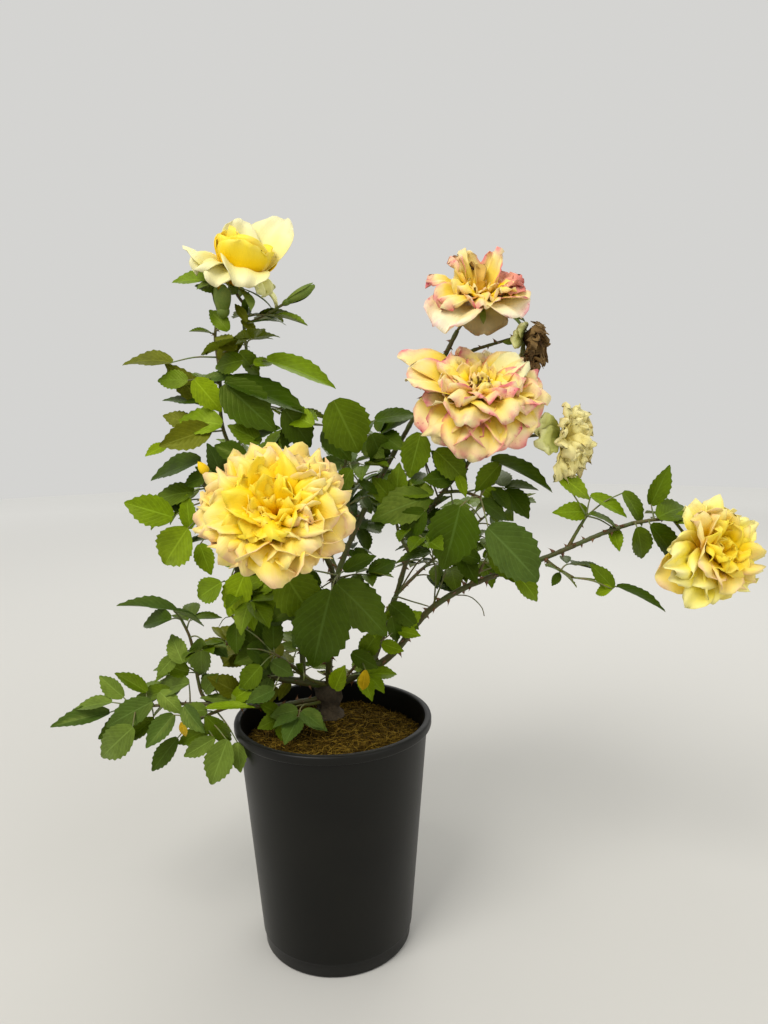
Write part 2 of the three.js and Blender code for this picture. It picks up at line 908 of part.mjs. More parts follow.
function foliageSolid(shoot, stem, seed) {
  const random = seeded(seed);
  const course = courses[shoot.name];
  const pieces = [stem];
  for (const leaf of shoot.leaves) pieces.push(...aimedLeaf(shoot, course, leaf, random));
  for (let i = 0; i < shoot.fill; i += 1) pieces.push(...filledLeaf(shoot, course, i, random));
  return fused(pieces);
}

// Blooms and buds

// One petal leans off the bloom's axis by an angle that grows from foot to lip, and is cupped across.
function petalPoint(petal, share, across, lift) {
  const { hip, axis, out, length, lean, cup } = petal;
  const start = radians(lean[0]);
  const turn = radians(Math.max(2, lean[1] - lean[0]));
  const angle = start + turn * share;
  const side = new THREE.Vector3().crossVectors(out, axis);
  const inward = axis.clone().multiplyScalar(Math.sin(angle)).addScaledVector(out, -Math.cos(angle));
  const half = 0.5 * PETAL.breadth * length;
  const point = hip.clone();
  point.addScaledVector(out, (length * (Math.cos(start) - Math.cos(angle))) / turn);
  point.addScaledVector(axis, (length * (Math.sin(angle) - Math.sin(start))) / turn);
  point.addScaledVector(side, across * half);
  return point.addScaledVector(inward, lift + cup * across * across * half);
}

const PETAL_RIM = [
  [0.02, 0],
  [0.6, 0.95],
  [1, 0.5],
  [1, -0.5],
  [0.6, -0.95],
];

function petalSolid(petal) {
  return lens(
    PETAL_RIM.map(([share, across]) => petalPoint(petal, share, across, 0)),
    petalPoint(petal, PETAL.widest, 0, 0.5 * PETAL.thick),
    petalPoint(petal, PETAL.widest, 0, -0.5 * PETAL.thick),
  );
}

// Any direction square to an axis, turned round it.
function around(axis, degrees) {
  const start = new THREE.Vector3().crossVectors(axis, Math.abs(axis.z) > 0.9 ? FRONT : UP).normalize();
  return start.applyAxisAngle(axis, radians(degrees));
}

const axisOf = ([right, front, up]) => new THREE.Vector3(right, -front, up).normalize();

// Petals leave the hip a golden angle apart: the inner ones short and upright, the outer long and leaning.
function bloomPetals(bloom, random) {
  const axis = axisOf(bloom.faces);
  const hip = spot(bloom.via.at(-1));
  return Array.from({ length: bloom.petals }, (_, i) => {
    const share = mix(0.4, 1, (i + 0.5) / bloom.petals);
    const out = around(axis, GOLDEN_ANGLE * i + PETAL.sway * random());
    const length = bloom.reach * (0.5 + 0.5 * Math.sqrt(share)) * (0.92 + 0.12 * random());
    const lean = [0.3 * bloom.open * share, bloom.open * (0.14 + 0.86 * share) + 10 * (random() - 0.5)];
    return { hip, axis, out, length, lean, cup: 0.3 - 0.15 * share };
  });
}

function ball(centre, axis, wide, long) {
  const geometry = new THREE.SphereGeometry(1, 6, 4).scale(0.5 * wide, 0.5 * long, 0.5 * wide);
  geometry.applyQuaternion(new THREE.Quaternion().setFromUnitVectors(new THREE.Vector3(0, 1, 0), axis));
  return solidOf(geometry.translate(centre.x, centre.y, centre.z));
}

// Sepals are narrow petals that hang back from the hip.
function sepals(hip, axis, length) {
  if (!length) return [];
  const { count, first, lean, widest, half } = SEPAL;
  const rim = [[0, 0], [widest, half], [1, 0], [widest, -half]];
  return Array.from({ length: count }, (_, i) => {
    const petal = { hip, axis, out: around(axis, first + (360 * i) / count), length, lean, cup: 0 };
    return lens(
      rim.map(([share, across]) => petalPoint(petal, share, across, 0)),
      petalPoint(petal, widest, 0, 0.5 * PETAL.thick),
      petalPoint(petal, widest, 0, -0.5 * PETAL.thick),
    );
  });
}

function bloomSolid(bloom, seed) {
  const random = seeded(seed);
  const axis = axisOf(bloom.faces);
  const hip = spot(bloom.via.at(-1));
  const stem = clearLimb(addCourse(bloom), BLOOM_STEM);
  const cup = ball(hip, axis, 2 * bloom.hip, 2.4 * bloom.hip);
  const middle = hip.clone().addScaledVector(axis, HEART.up * bloom.reach);
  const heart = ball(middle, axis, HEART.wide * bloom.reach, HEART.high * bloom.reach);
  const petals = bloomPetals(bloom, random).map(petalSolid);
  const green = sepals(hip, axis, bloom.sepal ?? 0);
  return fused([stem, cup, heart, ...[...petals, ...green].filter((petal) => !touched(petal))], 0.3);
}

function budSolid(bud) {
  const axis = axisOf(bud.faces);
  const end = spot(bud.via.at(-1));
  const stem = clearLimb(addCourse(bud), BUD_STEM);
  const middle = end.clone().addScaledVector(axis, 0.45 * bud.long);
  return fused([stem, ball(middle, axis, bud.wide, bud.long)]);
}

// The bush: limbs first, then blooms, and then the leaves in what room is left

function build() {
  const solids = [
    ["nursery_pot", potSolid(), "pot"],
    ["compost", compostSolid(), "compost"],
    ["trunk", trunkSolid(), "bark"],
  ];
  for (const [name, solid] of solids) stand(name, solid);
  for (const cane of CANES) {
    const steps = 1 + CANE.steps * cane.via.length;
    const solid = clearLimb(addCourse(cane), { thick: cane.thick, sides: CANE.sides, steps });
    stand(cane.name, solid);
    solids.push([cane.name, solid, "bark"]);
  }
  const stems = SHOOTS.map((shoot) => {
    const stem = clearLimb(addCourse(shoot), STEM);
    stand(shoot.name, stem);
    return stem;
  });
  for (const [i, bloom] of BLOOMS.entries()) {
    const solid = bloomSolid(bloom, 100 + i);
    stand(bloom.name, solid);
    solids.push([bloom.name, solid, bloom.material]);
  }
  for (const bud of BUDS) {
    const solid = budSolid(bud);
    stand(bud.name, solid);
    solids.push([bud.name, solid, "leaf"]);
  }
  for (const [i, shoot] of SHOOTS.entries()) {
    const solid = foliageSolid(shoot, stems[i], 500 + i);
    stand(shoot.name, solid);
    solids.push([shoot.name, solid, "leaf"]);
  }
  for (const [name, solid, material] of solids) place(name, solid, material);
}

build();

export default root;
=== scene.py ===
"""A rose bush in a black nursery pot, dressed for its picture: pot, compost, canes, leaves and roses."""

import json
import logging
import math
from collections.abc import Callable, Iterable, Sequence
from dataclasses import dataclass, field
from enum import Enum

import bpy
import numpy as np
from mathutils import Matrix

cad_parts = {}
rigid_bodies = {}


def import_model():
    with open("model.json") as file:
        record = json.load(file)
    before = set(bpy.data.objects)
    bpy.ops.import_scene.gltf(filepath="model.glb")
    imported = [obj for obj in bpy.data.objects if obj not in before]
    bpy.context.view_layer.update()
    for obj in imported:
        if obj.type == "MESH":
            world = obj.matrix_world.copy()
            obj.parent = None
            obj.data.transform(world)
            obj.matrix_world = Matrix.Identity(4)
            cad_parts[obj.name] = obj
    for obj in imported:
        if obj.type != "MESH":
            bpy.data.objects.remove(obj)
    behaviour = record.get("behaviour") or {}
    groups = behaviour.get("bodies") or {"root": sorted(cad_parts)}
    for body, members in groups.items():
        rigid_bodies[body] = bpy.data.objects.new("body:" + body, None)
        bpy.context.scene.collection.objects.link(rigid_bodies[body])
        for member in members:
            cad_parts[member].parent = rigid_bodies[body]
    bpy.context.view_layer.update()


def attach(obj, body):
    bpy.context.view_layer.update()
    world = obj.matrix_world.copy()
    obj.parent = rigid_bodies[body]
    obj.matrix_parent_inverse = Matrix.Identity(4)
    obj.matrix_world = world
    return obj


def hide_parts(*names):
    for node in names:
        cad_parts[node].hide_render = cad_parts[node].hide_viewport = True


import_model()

log = logging.getLogger("rose_bush")

Array = np.ndarray
Spot = tuple[float, float, float]
Colour = tuple[float, float, float]
Solid = tuple[Array, list[tuple[int, ...]]]
Thing = bpy.types.Object
Material = bpy.types.Material
Tree = bpy.types.NodeTree
Socket = bpy.types.NodeSocket
Random = np.random.Generator
Radius = Callable[[float], float]

MM = 0.001
UP = np.array((0.0, 0.0, 1.0))
FRONT = np.array((0.0, -1.0, 0.0))
GOLDEN_ANGLE = 137.5
# Random phases are drawn up to about a full turn.
PHASES = 6.28


# Places and directions


class Sight:
    """The photographer's eye, and the places it sees on the upright plane through the pot's axis."""

    eye = np.array((55.0, -752.0, 542.0))
    pitch = 7.5
    roll = -0.9
    focal = 769.0
    picture_height = 1024.0

    @classmethod
    def spot(cls, place: Spot) -> Array:
        """The point that is seen across and up, drawn toward the eye.

        Args:
            place: across, up and toward, in mm.

        Returns:
            The point in the part's frame, in mm.
        """
        across, up, toward = place
        plane = np.array((across, 0.0, up))
        return plane + (cls.eye - plane) * (toward / -cls.eye[1])

    @classmethod
    def seen(cls, point: Array) -> Array:
        """The reverse of spot: how far across, up and toward a point is.

        Args:
            point: a point in mm.

        Returns:
            Its across, up and toward, in mm.
        """
        toward = -point[1]
        share = toward / -cls.eye[1]
        across = (point[0] - share * cls.eye[0]) / (1 - share)
        up = (point[2] - share * cls.eye[2]) / (1 - share)
        return np.array((across, up, toward))


def unit(vector: Array) -> Array:
    """The vector at length one."""
    return vector / max(float(np.linalg.norm(vector)), 1e-9)


def turned(vector: Array, axis: Array, degrees: float) -> Array:
    """A vector turned round an axis.

    Args:
        vector: what is turned.
        axis: the unit axis.
        degrees: how far, anticlockwise.

    Returns:
        The turned vector.
    """
    angle = math.radians(degrees)
    along = axis * float(axis @ vector) * (1 - math.cos(angle))
    return vector * math.cos(angle) + np.cross(axis, vector) * math.sin(angle) + along


def square_to(axis: Array, degrees: float) -> Array:
    """The unit direction square to a unit axis, turned so many degrees round it."""
    start = unit(np.cross(axis, FRONT if abs(axis[2]) > 0.9 else UP))
    return turned(start, axis, degrees)


def euler_of(along: Array, face: Array) -> tuple[float, float, float]:
    """The turn that brings +X along one way and +Z to face another.

    Args:
        along: where +X goes.
        face: where +Z goes, made square to along.

    Returns:
        The turn as XYZ Euler angles in radians.
    """
    x_axis = unit(along)
    z_axis = unit(face - x_axis * float(face @ x_axis))
    y_axis = np.cross(z_axis, x_axis)
    tilt = -math.asin(max(-1.0, min(1.0, float(x_axis[2]))))
    return math.atan2(y_axis[2], z_axis[2]), tilt, math.atan2(x_axis[1], x_axis[0])


def ripple(points: Array, size: float, seed: int) -> Array:
    """A smooth random height for each point, from a few crossed waves.

    Args:
        points: N points in mm.
        size: the width of a ripple in mm.
        seed: which ripples.

    Returns:
        N heights of about -1 to 1.
    """
    rng = np.random.default_rng(seed)
    height = np.zeros(len(points))
    for _ in range(6):
        way = rng.normal(size=3)
        way = way / np.linalg.norm(way) * (2 * math.pi / size) * rng.uniform(0.6, 1.7)
        height += np.sin(points @ way + rng.uniform(0, PHASES)) / 3.2
    return height


@dataclass
class Course:
    """A smooth path through points in mm, measured by the share of its length."""

    points: list[Array]
    dense: Array = field(init=False)
    run: Array = field(init=False)

    def __post_init__(self) -> None:
        """Lays the curve through the points."""
        ends = [2 * self.points[0] - self.points[1], *self.points, 2 * self.points[-1] - self.points[-2]]
        laid = [self._bend(ends[i : i + 4]) for i in range(len(self.points) - 1)]
        self.dense = np.vstack([*laid, self.points[-1][None, :]])
        steps = np.linalg.norm(np.diff(self.dense, axis=0), axis=1)
        self.run = np.concatenate([[0.0], np.cumsum(steps)])

    @staticmethod
    def _bend(four: Sequence[Array]) -> Array:
        """One stretch of a centripetal curve.

        Args:
            four: four points. The stretch runs from the second toward the third.

        Returns:
            The points on it, of which the last falls short of the third.
        """
        before, start, end, after = four
        gaps = [max(math.sqrt(float(np.linalg.norm(b - a))), 1e-3) for a, b in zip(four[:-1], four[1:])]
        leave = (start - before) / gaps[0] - (end - before) / (gaps[0] + gaps[1]) + (end - start) / gaps[1]
        reach = (end - start) / gaps[1] - (after - start) / (gaps[1] + gaps[2]) + (after - end) / gaps[2]
        leave, reach = leave * gaps[1], reach * gaps[1]
        share = np.linspace(0, 1, 24, endpoint=False)[:, None]
        cubic = 2 * start - 2 * end + leave + reach
        square = -3 * start + 3 * end - 2 * leave - reach
        return start + leave * share + square * share**2 + cubic * share**3

    @property
    def length(self) -> float:
        """How long the path is, in mm."""
        return float(self.run[-1])

    def at(self, share: float) -> Array:
        """The point at a share of the length."""
        return np.array([np.interp(share * self.length, self.run, self.dense[:, i]) for i in range(3)])

    def way(self, share: float) -> Array:
        """The unit direction of the path at a share of its length."""
        step = min(0.02, 1.5 / self.length)
        return unit(self.at(min(1.0, share + step)) - self.at(max(0.0, share - step)))


# Meshes


def shown(made: Thing) -> Thing:
    """An object, once it is linked to the scene."""
    bpy.context.scene.collection.objects.link(made)
    return made


@dataclass
class Shell:
    """Points, faces and picture coordinates gathered for one mesh, in mm."""

    points: list[Array] = field(default_factory=list)
    faces: list[tuple[int, ...]] = field(default_factory=list)
    uvs: list[Array] = field(default_factory=list)
    slots: list[int] = field(default_factory=list)
    count: int = 0

    def add(
        self, points: Array, faces: Iterable[Sequence[int]], uv: Array | None = None, slot: int = 0
    ) -> "Shell":
        """Adds one more part.

        Args:
            points: its points.
            faces: its faces, by the numbers of its own points.
            uv: a picture coordinate for each point.
            slot: which material its faces take.

        Returns:
            This shell.
        """
        gathered = [tuple(int(i) + self.count for i in face) for face in faces]
        self.points.append(points)
        self.faces.extend(gathered)
        self.uvs.append(np.zeros((len(points), 2)) if uv is None else uv)
        self.slots.extend([slot] * len(gathered))
        self.count += len(points)
        return self

    def build(self, name: str, *materials: Material) -> Thing:
        """Makes the object, smooth and placed in its mesh.

        Args:
            name: what it is called.
            materials: its materials, in the order of the slots.

        Returns:
            The object, linked to the scene.
        """
        mesh = bpy.data.meshes.new(name)
        mesh.from_pydata(np.vstack(self.points) * MM, [], self.faces)
        mesh.polygons.foreach_set("material_index", self.slots)
        corners = np.empty(len(mesh.loops), dtype=np.int64)
        mesh.loops.foreach_get("vertex_index", corners)
        layer = mesh.uv_layers.new(name="UVMap")
        layer.data.foreach_set("uv", np.vstack(self.uvs)[corners].ravel())
        mesh.shade_smooth()
        mesh.update()
        for material in materials:
            mesh.materials.append(material)
        return shown(bpy.data.objects.new(name, mesh))

    def pattern(self, name: str) -> Thing:
        """Makes an object that stays out of the scene, so that only its copies show.

        Args:
            name: what it is called.

        Returns:
            The object.
        """
        made = self.build(name)
        bpy.context.scene.collection.objects.unlink(made)
        return made


def grid_faces(rows: int, columns: int, closed: bool) -> list[tuple[int, ...]]:
    """Faces between the rows of a grid of points.

    Args:
        rows: how many rows.
        columns: how many points in a row.
        closed: whether each row closes on itself.

    Returns:
        The faces.
    """
    faces = []
    for row in range(rows - 1):
        low, high = row * columns, (row + 1) * columns
        for column in range(columns if closed else columns - 1):
            after = (column + 1) % columns
            faces.append((low + column, low + after, high + after, high + column))
    return faces


def capped(rings: Sequence[Array], first: Array, last: Array) -> Solid:
    """A closed skin over rings of points, which run anticlockwise as seen from the far end.

    Args:
        rings: the rings, with as many points each.
        first: the point that closes the near end.
        last: the point that closes the far end.

    Returns:
        The points and the faces.
    """
    sides = len(rings[0])
    points = np.vstack([*rings, first[None, :], last[None, :]])
    faces = grid_faces(len(rings), sides, True)
    foot = len(rings) * sides
    tip, final = foot + 1, foot - sides
    for i in range(sides):
        after = (i + 1) % sides
        faces.append((foot, after, i))
        faces.append((tip, final + i, final + after))
    return points, faces


def tube(course: Course, radius: Radius, sides: int, steps: int, rough: float = 0.0, seed: int = 1) -> Solid:
    """A closed tube along a course.

    Args:
        course: the path of its middle.
        radius: its radius at a share of the path, in mm.
        sides: how many sides it has.
        steps: how many stretches it has.
        rough: how high its relief is, in mm.
        seed: which relief.

    Returns:
        Its points and its faces.
    """
    ripple_width = 5.0
    side = square_to(course.way(0.0), 0)
    turns = np.linspace(0, 2 * math.pi, sides, endpoint=False)[:, None]
    rings = []
    for share in np.linspace(0.0, 1.0, steps + 1):
        way = course.way(share)
        side = unit(side - way * float(side @ way))
        spokes = np.cos(turns) * side + np.sin(turns) * np.cross(way, side)
        ring = course.at(share) + radius(share) * spokes
        if rough:
            ring = ring + spokes * (rough * ripple(ring, ripple_width, seed))[:, None]
        rings.append(ring)
    return capped(rings, course.at(0.0), course.at(1.0))


def circle(radius: float, sides: int, height: float = 0.0) -> Array:
    """A level ring of points round the pot's axis."""
    turns = np.linspace(0, 2 * math.pi, sides, endpoint=False)
    return np.stack([radius * np.cos(turns), radius * np.sin(turns), np.full(sides, height)], 1)


def oval(along: float, half_width: float, half_height: float, sides: int) -> Array:
    """A ring of points square to +X, so far along it."""
    turns = np.linspace(0, 2 * math.pi, sides, endpoint=False)
    return np.stack([np.full(sides, along), half_width * np.cos(turns), half_height * np.sin(turns)], 1)


def spindle(name: str, rings: Sequence[Array]) -> Thing:
    """A pattern object over rings of points along +X, closed flat at both ends.

    Args:
        name: what it is called.
        rings: the rings, with as many points each, in metres.

    Returns:
        The object, out of the scene.
    """
    sides = len(rings[0])
    final = (len(rings) - 1) * sides
    ends = [tuple(range(sides - 1, -1, -1)), tuple(range(final, final + sides))]
    faces = [*grid_faces(len(rings), sides, True), *ends]
    return Shell().add(np.vstack(rings) / MM, faces).pattern(name)


# Finishes


class Nodes:
    """A node tree being wired up."""

    def __init__(self, tree: Tree) -> None:
        """Empties the tree: a material's, a shader group's or a geometry group's."""
        self.tree = tree
        tree.nodes.clear()

    def add(self, kind: str, **settings: object) -> bpy.types.Node:
        """Adds a node.

        Args:
            kind: the node's type.
            settings: its properties by name, and its inputs' values as a dict called inputs.

        Returns:
            The node.
        """
        node = self.tree.nodes.new(kind)
        values = settings.pop("inputs", {})
        for name, value in settings.items():
            setattr(node, name, value)
        for key, value in values.items():
            if isinstance(value, Socket):
                self.tree.links.new(value, node.inputs[key])
            else:
                node.inputs[key].default_value = value
        return node

    def maths(self, operation: str, *values: object) -> Socket:
        """A Math node's result, from numbers or sockets."""
        return self.add("ShaderNodeMath", operation=operation, inputs=dict(enumerate(values))).outputs[0]

    def blend(self, factor: Socket, first: object, second: object) -> Socket:
        """Two colours mixed, from colours or sockets."""
        return self.add("ShaderNodeMix", data_type="RGBA", inputs={0: factor, 6: first, 7: second}).outputs[2]

    def ramp(
        self, value: Socket, low: float, high: object, to_low: float = 0.0, to_high: float = 1.0
    ) -> Socket:
        """A value carried from one range to another and kept inside it."""
        ranges = {"From Min": low, "From Max": high, "To Min": to_low, "To Max": to_high}
        return self.add("ShaderNodeMapRange", inputs={"Value": value, **ranges}).outputs[0]

    def noise(self, place: Socket, scale: object, detail: float) -> Socket:
        """A Noise Texture's value."""
        values = {"Vector": place, "Scale": scale, "Detail": detail}
        return self.add("ShaderNodeTexNoise", inputs=values).outputs[0]

    def bump(self, strength: float, depth: float, height: Socket) -> Socket:
        """A Bump node's normal, with its depth in mm."""
        values = {"Strength": strength, "Distance": depth * MM, "Height": height}
        return self.add("ShaderNodeBump", inputs=values).outputs[0]

    def group(self, tree: Tree, **values: object) -> bpy.types.bpy_prop_collection:
        """A shader group's outputs, with its inputs set by name."""
        return self.add("ShaderNodeGroup", node_tree=tree, inputs=values).outputs


def rgba(colour: Colour) -> tuple[float, float, float, float]:
    """A colour with full alpha."""
    return (*colour, 1.0)


class Effects:
    """The shader groups that several finishes share."""

    def __init__(self) -> None:
        """Makes the groups."""
        self.mottle = self._mottle()
        self.relief = self._relief()
        self.veins = self._veins()

    @staticmethod
    def _group(name: str, inputs: dict[str, float | Colour], outputs: Sequence[str]) -> tuple[Tree, Nodes]:
        """A new shader group with named sockets.

        Args:
            name: the group's name.
            inputs: each input's name and its value, a number or a colour.
            outputs: each output's name. The one called Colour is a colour, and the others are numbers.

        Returns:
            The group and its nodes.
        """
        group = bpy.data.node_groups.new(name, "ShaderNodeTree")
        for title, value in inputs.items():
            kind = "NodeSocketColor" if isinstance(value, tuple) else "NodeSocketFloat"
            socket = group.interface.new_socket(title, in_out="INPUT", socket_type=kind)
            socket.default_value = rgba(value) if isinstance(value, tuple) else value
        for title in outputs:
            kind = "NodeSocketColor" if title == "Colour" else "NodeSocketFloat"
            group.interface.new_socket(title, in_out="OUTPUT", socket_type=kind)
        return group, Nodes(group)

    @classmethod
    def _mottle(cls) -> Tree:
        """A colour that drifts toward a second one in soft patches, with fine specks.

        Returns:
            The group.
        """
        colours = {"Colour": (0.5, 0.5, 0.5), "Second": (0.4, 0.4, 0.4)}
        scales = {"Patch": 60.0, "Speck": 600.0, "Strength": 0.5}
        group, nodes = cls._group("Mottle", {**colours, **scales}, ("Colour", "Mask"))
        given = nodes.add("NodeGroupInput").outputs
        place = nodes.add("ShaderNodeTexCoord").outputs["Object"]
        patches = nodes.maths("MULTIPLY", nodes.noise(place, given["Patch"], 4.0), 0.6)
        both = nodes.maths("MULTIPLY_ADD", nodes.noise(place, given["Speck"], 2.0), 0.4, patches)
        mask = nodes.maths("MULTIPLY", nodes.ramp(both, 0.38, 0.62), given["Strength"])
        colour = nodes.blend(mask, given["Colour"], given["Second"])
        nodes.add("NodeGroupOutput", inputs={"Colour": colour, "Mask": mask})
        return group

    @classmethod
    def _relief(cls) -> Tree:
        """A height from coarse and fine noise.

        Returns:
            The group.
        """
        group, nodes = cls._group("Relief", {"Coarse": 80.0, "Fine": 500.0, "Share": 0.4}, ("Height",))
        given = nodes.add("NodeGroupInput").outputs
        place = nodes.add("ShaderNodeTexCoord").outputs["Object"]
        coarse = nodes.noise(place, given["Coarse"], 3.0)
        height = nodes.maths("MULTIPLY_ADD", nodes.noise(place, given["Fine"], 2.0), given["Share"], coarse)
        nodes.add("NodeGroupOutput", inputs={"Height": height})
        return group

    @classmethod
    def _veins(cls) -> Tree:
        """A leaflet's midrib and side veins, from its own map: across 0 to 1, and along 0 to 1.

        Returns:
            The group.
        """
        group, nodes = cls._group("Leaf veins", {"Pairs": 8.0, "Width": 0.1}, ("Veins", "Quilting"))
        given = nodes.add("NodeGroupInput").outputs
        place = nodes.add("ShaderNodeSeparateXYZ", inputs={0: nodes.add("ShaderNodeTexCoord").outputs["UV"]})
        off = nodes.maths("ABSOLUTE", nodes.maths("SUBTRACT", place.outputs[0], 0.5))
        midrib = nodes.ramp(off, 0.012, 0.032, 1.0, 0.0)
        along = nodes.maths("SUBTRACT", place.outputs[1], nodes.maths("MULTIPLY", off, 0.85))
        wave = nodes.maths("PINGPONG", nodes.maths("MULTIPLY", along, given["Pairs"]), 0.5)
        side = nodes.ramp(wave, 0.0, given["Width"], 1.0, 0.0)
        veins = nodes.maths("MAXIMUM", midrib, nodes.maths("MULTIPLY", side, 0.6))
        nodes.add("NodeGroupOutput", inputs={"Veins": veins, "Quilting": nodes.ramp(wave, 0.0, 0.5)})
        return group


class Surface:
    """What all finishes share: a material whose shader takes what the finish paints."""

    name: str

    def paint(self, nodes: Nodes, effects: Effects) -> dict[str, object]:
        """The shader's inputs, which each finish wires up in its own way."""
        raise NotImplementedError

    def material(self, effects: Effects) -> Material:
        """Makes the material.

        Args:
            effects: the shared shader groups.

        Returns:
            The material.
        """
        made = bpy.data.materials.new(self.name)
        made.use_nodes = True
        nodes = Nodes(made.node_tree)
        shader = nodes.add("ShaderNodeBsdfPrincipled", inputs=self.paint(nodes, effects))
        nodes.add("ShaderNodeOutputMaterial", inputs={"Surface": shader.outputs[0]})
        return made


@dataclass(frozen=True)
class Drift:
    """How a colour drifts to its second one: the scales of its patches and specks, and how far it goes."""

    patch: float = 60.0
    speck: float = 600.0
    strength: float = 0.6

    @property
    def inputs(self) -> dict[str, float]:
        """What the Mottle group takes."""
        return {"Patch": self.patch, "Speck": self.speck, "Strength": self.strength}


@dataclass(frozen=True)
class Grain:
    """A relief: its coarse and fine scales, the fine one's share, its strength and its depth in mm."""

    coarse: float = 80.0
    fine: float = 500.0
    share: float = 0.4
    bump: float = 0.3
    depth: float = 0.4

    @property
    def inputs(self) -> dict[str, float]:
        """What the Relief group takes."""
        return {"Coarse": self.coarse, "Fine": self.fine, "Share": self.share}


@dataclass(frozen=True)
class Finish(Surface):
    """A plain surface whose colour drifts between two, with relief, and which is duller in its patches."""

    name: str
    colour: Colour
    second: Colour
    drift: Drift
    roughness: float
    grain: Grain = Grain()
    gloss: float = 0.4
    duller: float = 0.12

    def paint(self, nodes: Nodes, effects: Effects) -> dict[str, object]:
        """Wires up the colour, the roughness and the relief.

        Args:
            nodes: the material's nodes.
            effects: the shared shader groups.

        Returns:
            The shader's inputs.
        """
        colours = {"Colour": rgba(self.colour), "Second": rgba(self.second)}
        mottle = nodes.group(effects.mottle, **colours, **self.drift.inputs)
        relief = nodes.group(effects.relief, **self.grain.inputs)
        return {
            "Base Color": mottle["Colour"],
            "Roughness": nodes.maths("MULTIPLY_ADD", mottle["Mask"], self.duller, self.roughness),
            "Specular IOR Level": self.gloss,
            "Normal": nodes.bump(self.grain.bump, self.grain.depth, relief["Height"]),
        }


class Tone(Enum):
    """The greens that the leaves are dealt out in, spray by spray."""

    DEEP = "deep"
    MID = "mid"
    FRESH = "fresh"
    LIME = "lime"
    OLIVE = "olive"
    SAGE = "sage"
    BLUE = "blue"
    GOLD = "gold"


DEEP, MID, FRESH, LIME, OLIVE, SAGE, BLUE, GOLD = Tone


@dataclass(frozen=True)
class LeafFinish(Surface):
    """A leaf's green: glossy above with paler veins, and dull and pale below."""

    name: str
    colour: Colour
    below: Colour
    roughness: float = 0.4
    duller: float = 0.14
    gloss: float = 0.34
    shine: Colour = (0.9, 1.0, 0.2)
    drift: Drift = Drift(45.0, 260.0, 0.8)
    deeper: float = 0.62
    vein_lift: float = 1.7
    vein_share: float = 0.45

    def paint(self, nodes: Nodes, effects: Effects) -> dict[str, object]:
        """Wires up both sides' colours, the veins and the quilting between them.

        Args:
            nodes: the material's nodes.
            effects: the shared shader groups.

        Returns:
            The shader's inputs.
        """
        second = rgba(tuple(self.deeper * part for part in self.colour))
        lighter = rgba(tuple(min(1.0, self.vein_lift * part + 0.02) for part in self.colour))
        colours = {"Colour": rgba(self.colour), "Second": second}
        mottle = nodes.group(effects.mottle, **colours, **self.drift.inputs)
        leaf = nodes.group(effects.veins)
        veined = nodes.maths("MULTIPLY", leaf["Veins"], self.vein_share)
        above = nodes.blend(veined, mottle["Colour"], lighter)
        back = nodes.add("ShaderNodeNewGeometry").outputs["Backfacing"]
        height = nodes.maths("SUBTRACT", nodes.maths("MULTIPLY", leaf["Quilting"], 0.6), leaf["Veins"])
        return {
            "Base Color": nodes.blend(back, above, rgba(self.below)),
            "Roughness": nodes.maths("MULTIPLY_ADD", mottle["Mask"], self.duller, self.roughness),
            "Specular IOR Level": self.gloss,
            "Specular Tint": rgba(self.shine),
            "Normal": nodes.bump(0.3, 0.3, height),
        }


@dataclass(frozen=True)
class PetalFinish(Surface):
    """A petal's colours from its foot to its lip, and the flush and flecks on its edge."""

    name: str
    foot: Colour
    middle: Colour
    lip: Colour
    flush: Colour
    flush_share: float
    fleck: float = 0.0
    roughness: float = 0.5
    fleck_colour: Colour = (0.55, 0.03, 0.12)
    gloss: float = 0.25

    def paint(self, nodes: Nodes, effects: Effects) -> dict[str, object]:
        """Wires up the colours along and across the petal, and its fine streaks.

        Args:
            nodes: the material's nodes.
            effects: the shared shader groups, of which a petal uses none.

        Returns:
            The shader's inputs.
        """
        coords = nodes.add("ShaderNodeTexCoord").outputs
        place = nodes.add("ShaderNodeSeparateXYZ", inputs={0: coords["UV"]}).outputs
        across = nodes.maths("MULTIPLY", nodes.maths("ABSOLUTE", nodes.maths("SUBTRACT", place[0], 0.5)), 2.0)
        along = place[1]
        cloud = nodes.noise(coords["Object"], 55.0, 3.0)
        wavering = nodes.maths("MULTIPLY_ADD", nodes.maths("SUBTRACT", cloud, 0.5), 0.35, along)
        low = nodes.blend(nodes.ramp(wavering, 0.14, 0.6), rgba(self.foot), rgba(self.middle))
        body = nodes.blend(nodes.ramp(wavering, 0.66, 1.0), low, rgba(self.lip))
        edge = nodes.maths("MAXIMUM", nodes.maths("POWER", across, 3.0), nodes.ramp(along, 0.72, 1.0))
        patchy = nodes.maths("MULTIPLY", nodes.ramp(cloud, 0.42, 0.62), nodes.ramp(edge, 0.4, 0.95))
        flushed = nodes.blend(nodes.maths("MULTIPLY", patchy, self.flush_share), body, rgba(self.flush))
        spots = nodes.ramp(nodes.noise(coords["Object"], 420.0, 1.0), 0.66, 0.7)
        flecks = nodes.maths("MULTIPLY", nodes.maths("MULTIPLY", spots, patchy), self.fleck)
        waves = {"Vector": coords["UV"], "Scale": 9.0, "Distortion": 2.5, "Detail": 2.0}
        streaks = nodes.add("ShaderNodeTexWave", wave_type="BANDS", bands_direction="X", inputs=waves)
        return {
            "Base Color": nodes.blend(flecks, flushed, rgba(self.fleck_colour)),
            "Roughness": self.roughness,
            "Specular IOR Level": self.gloss,
            "Normal": nodes.bump(0.18, 0.4, streaks.outputs["Fac"]),
        }


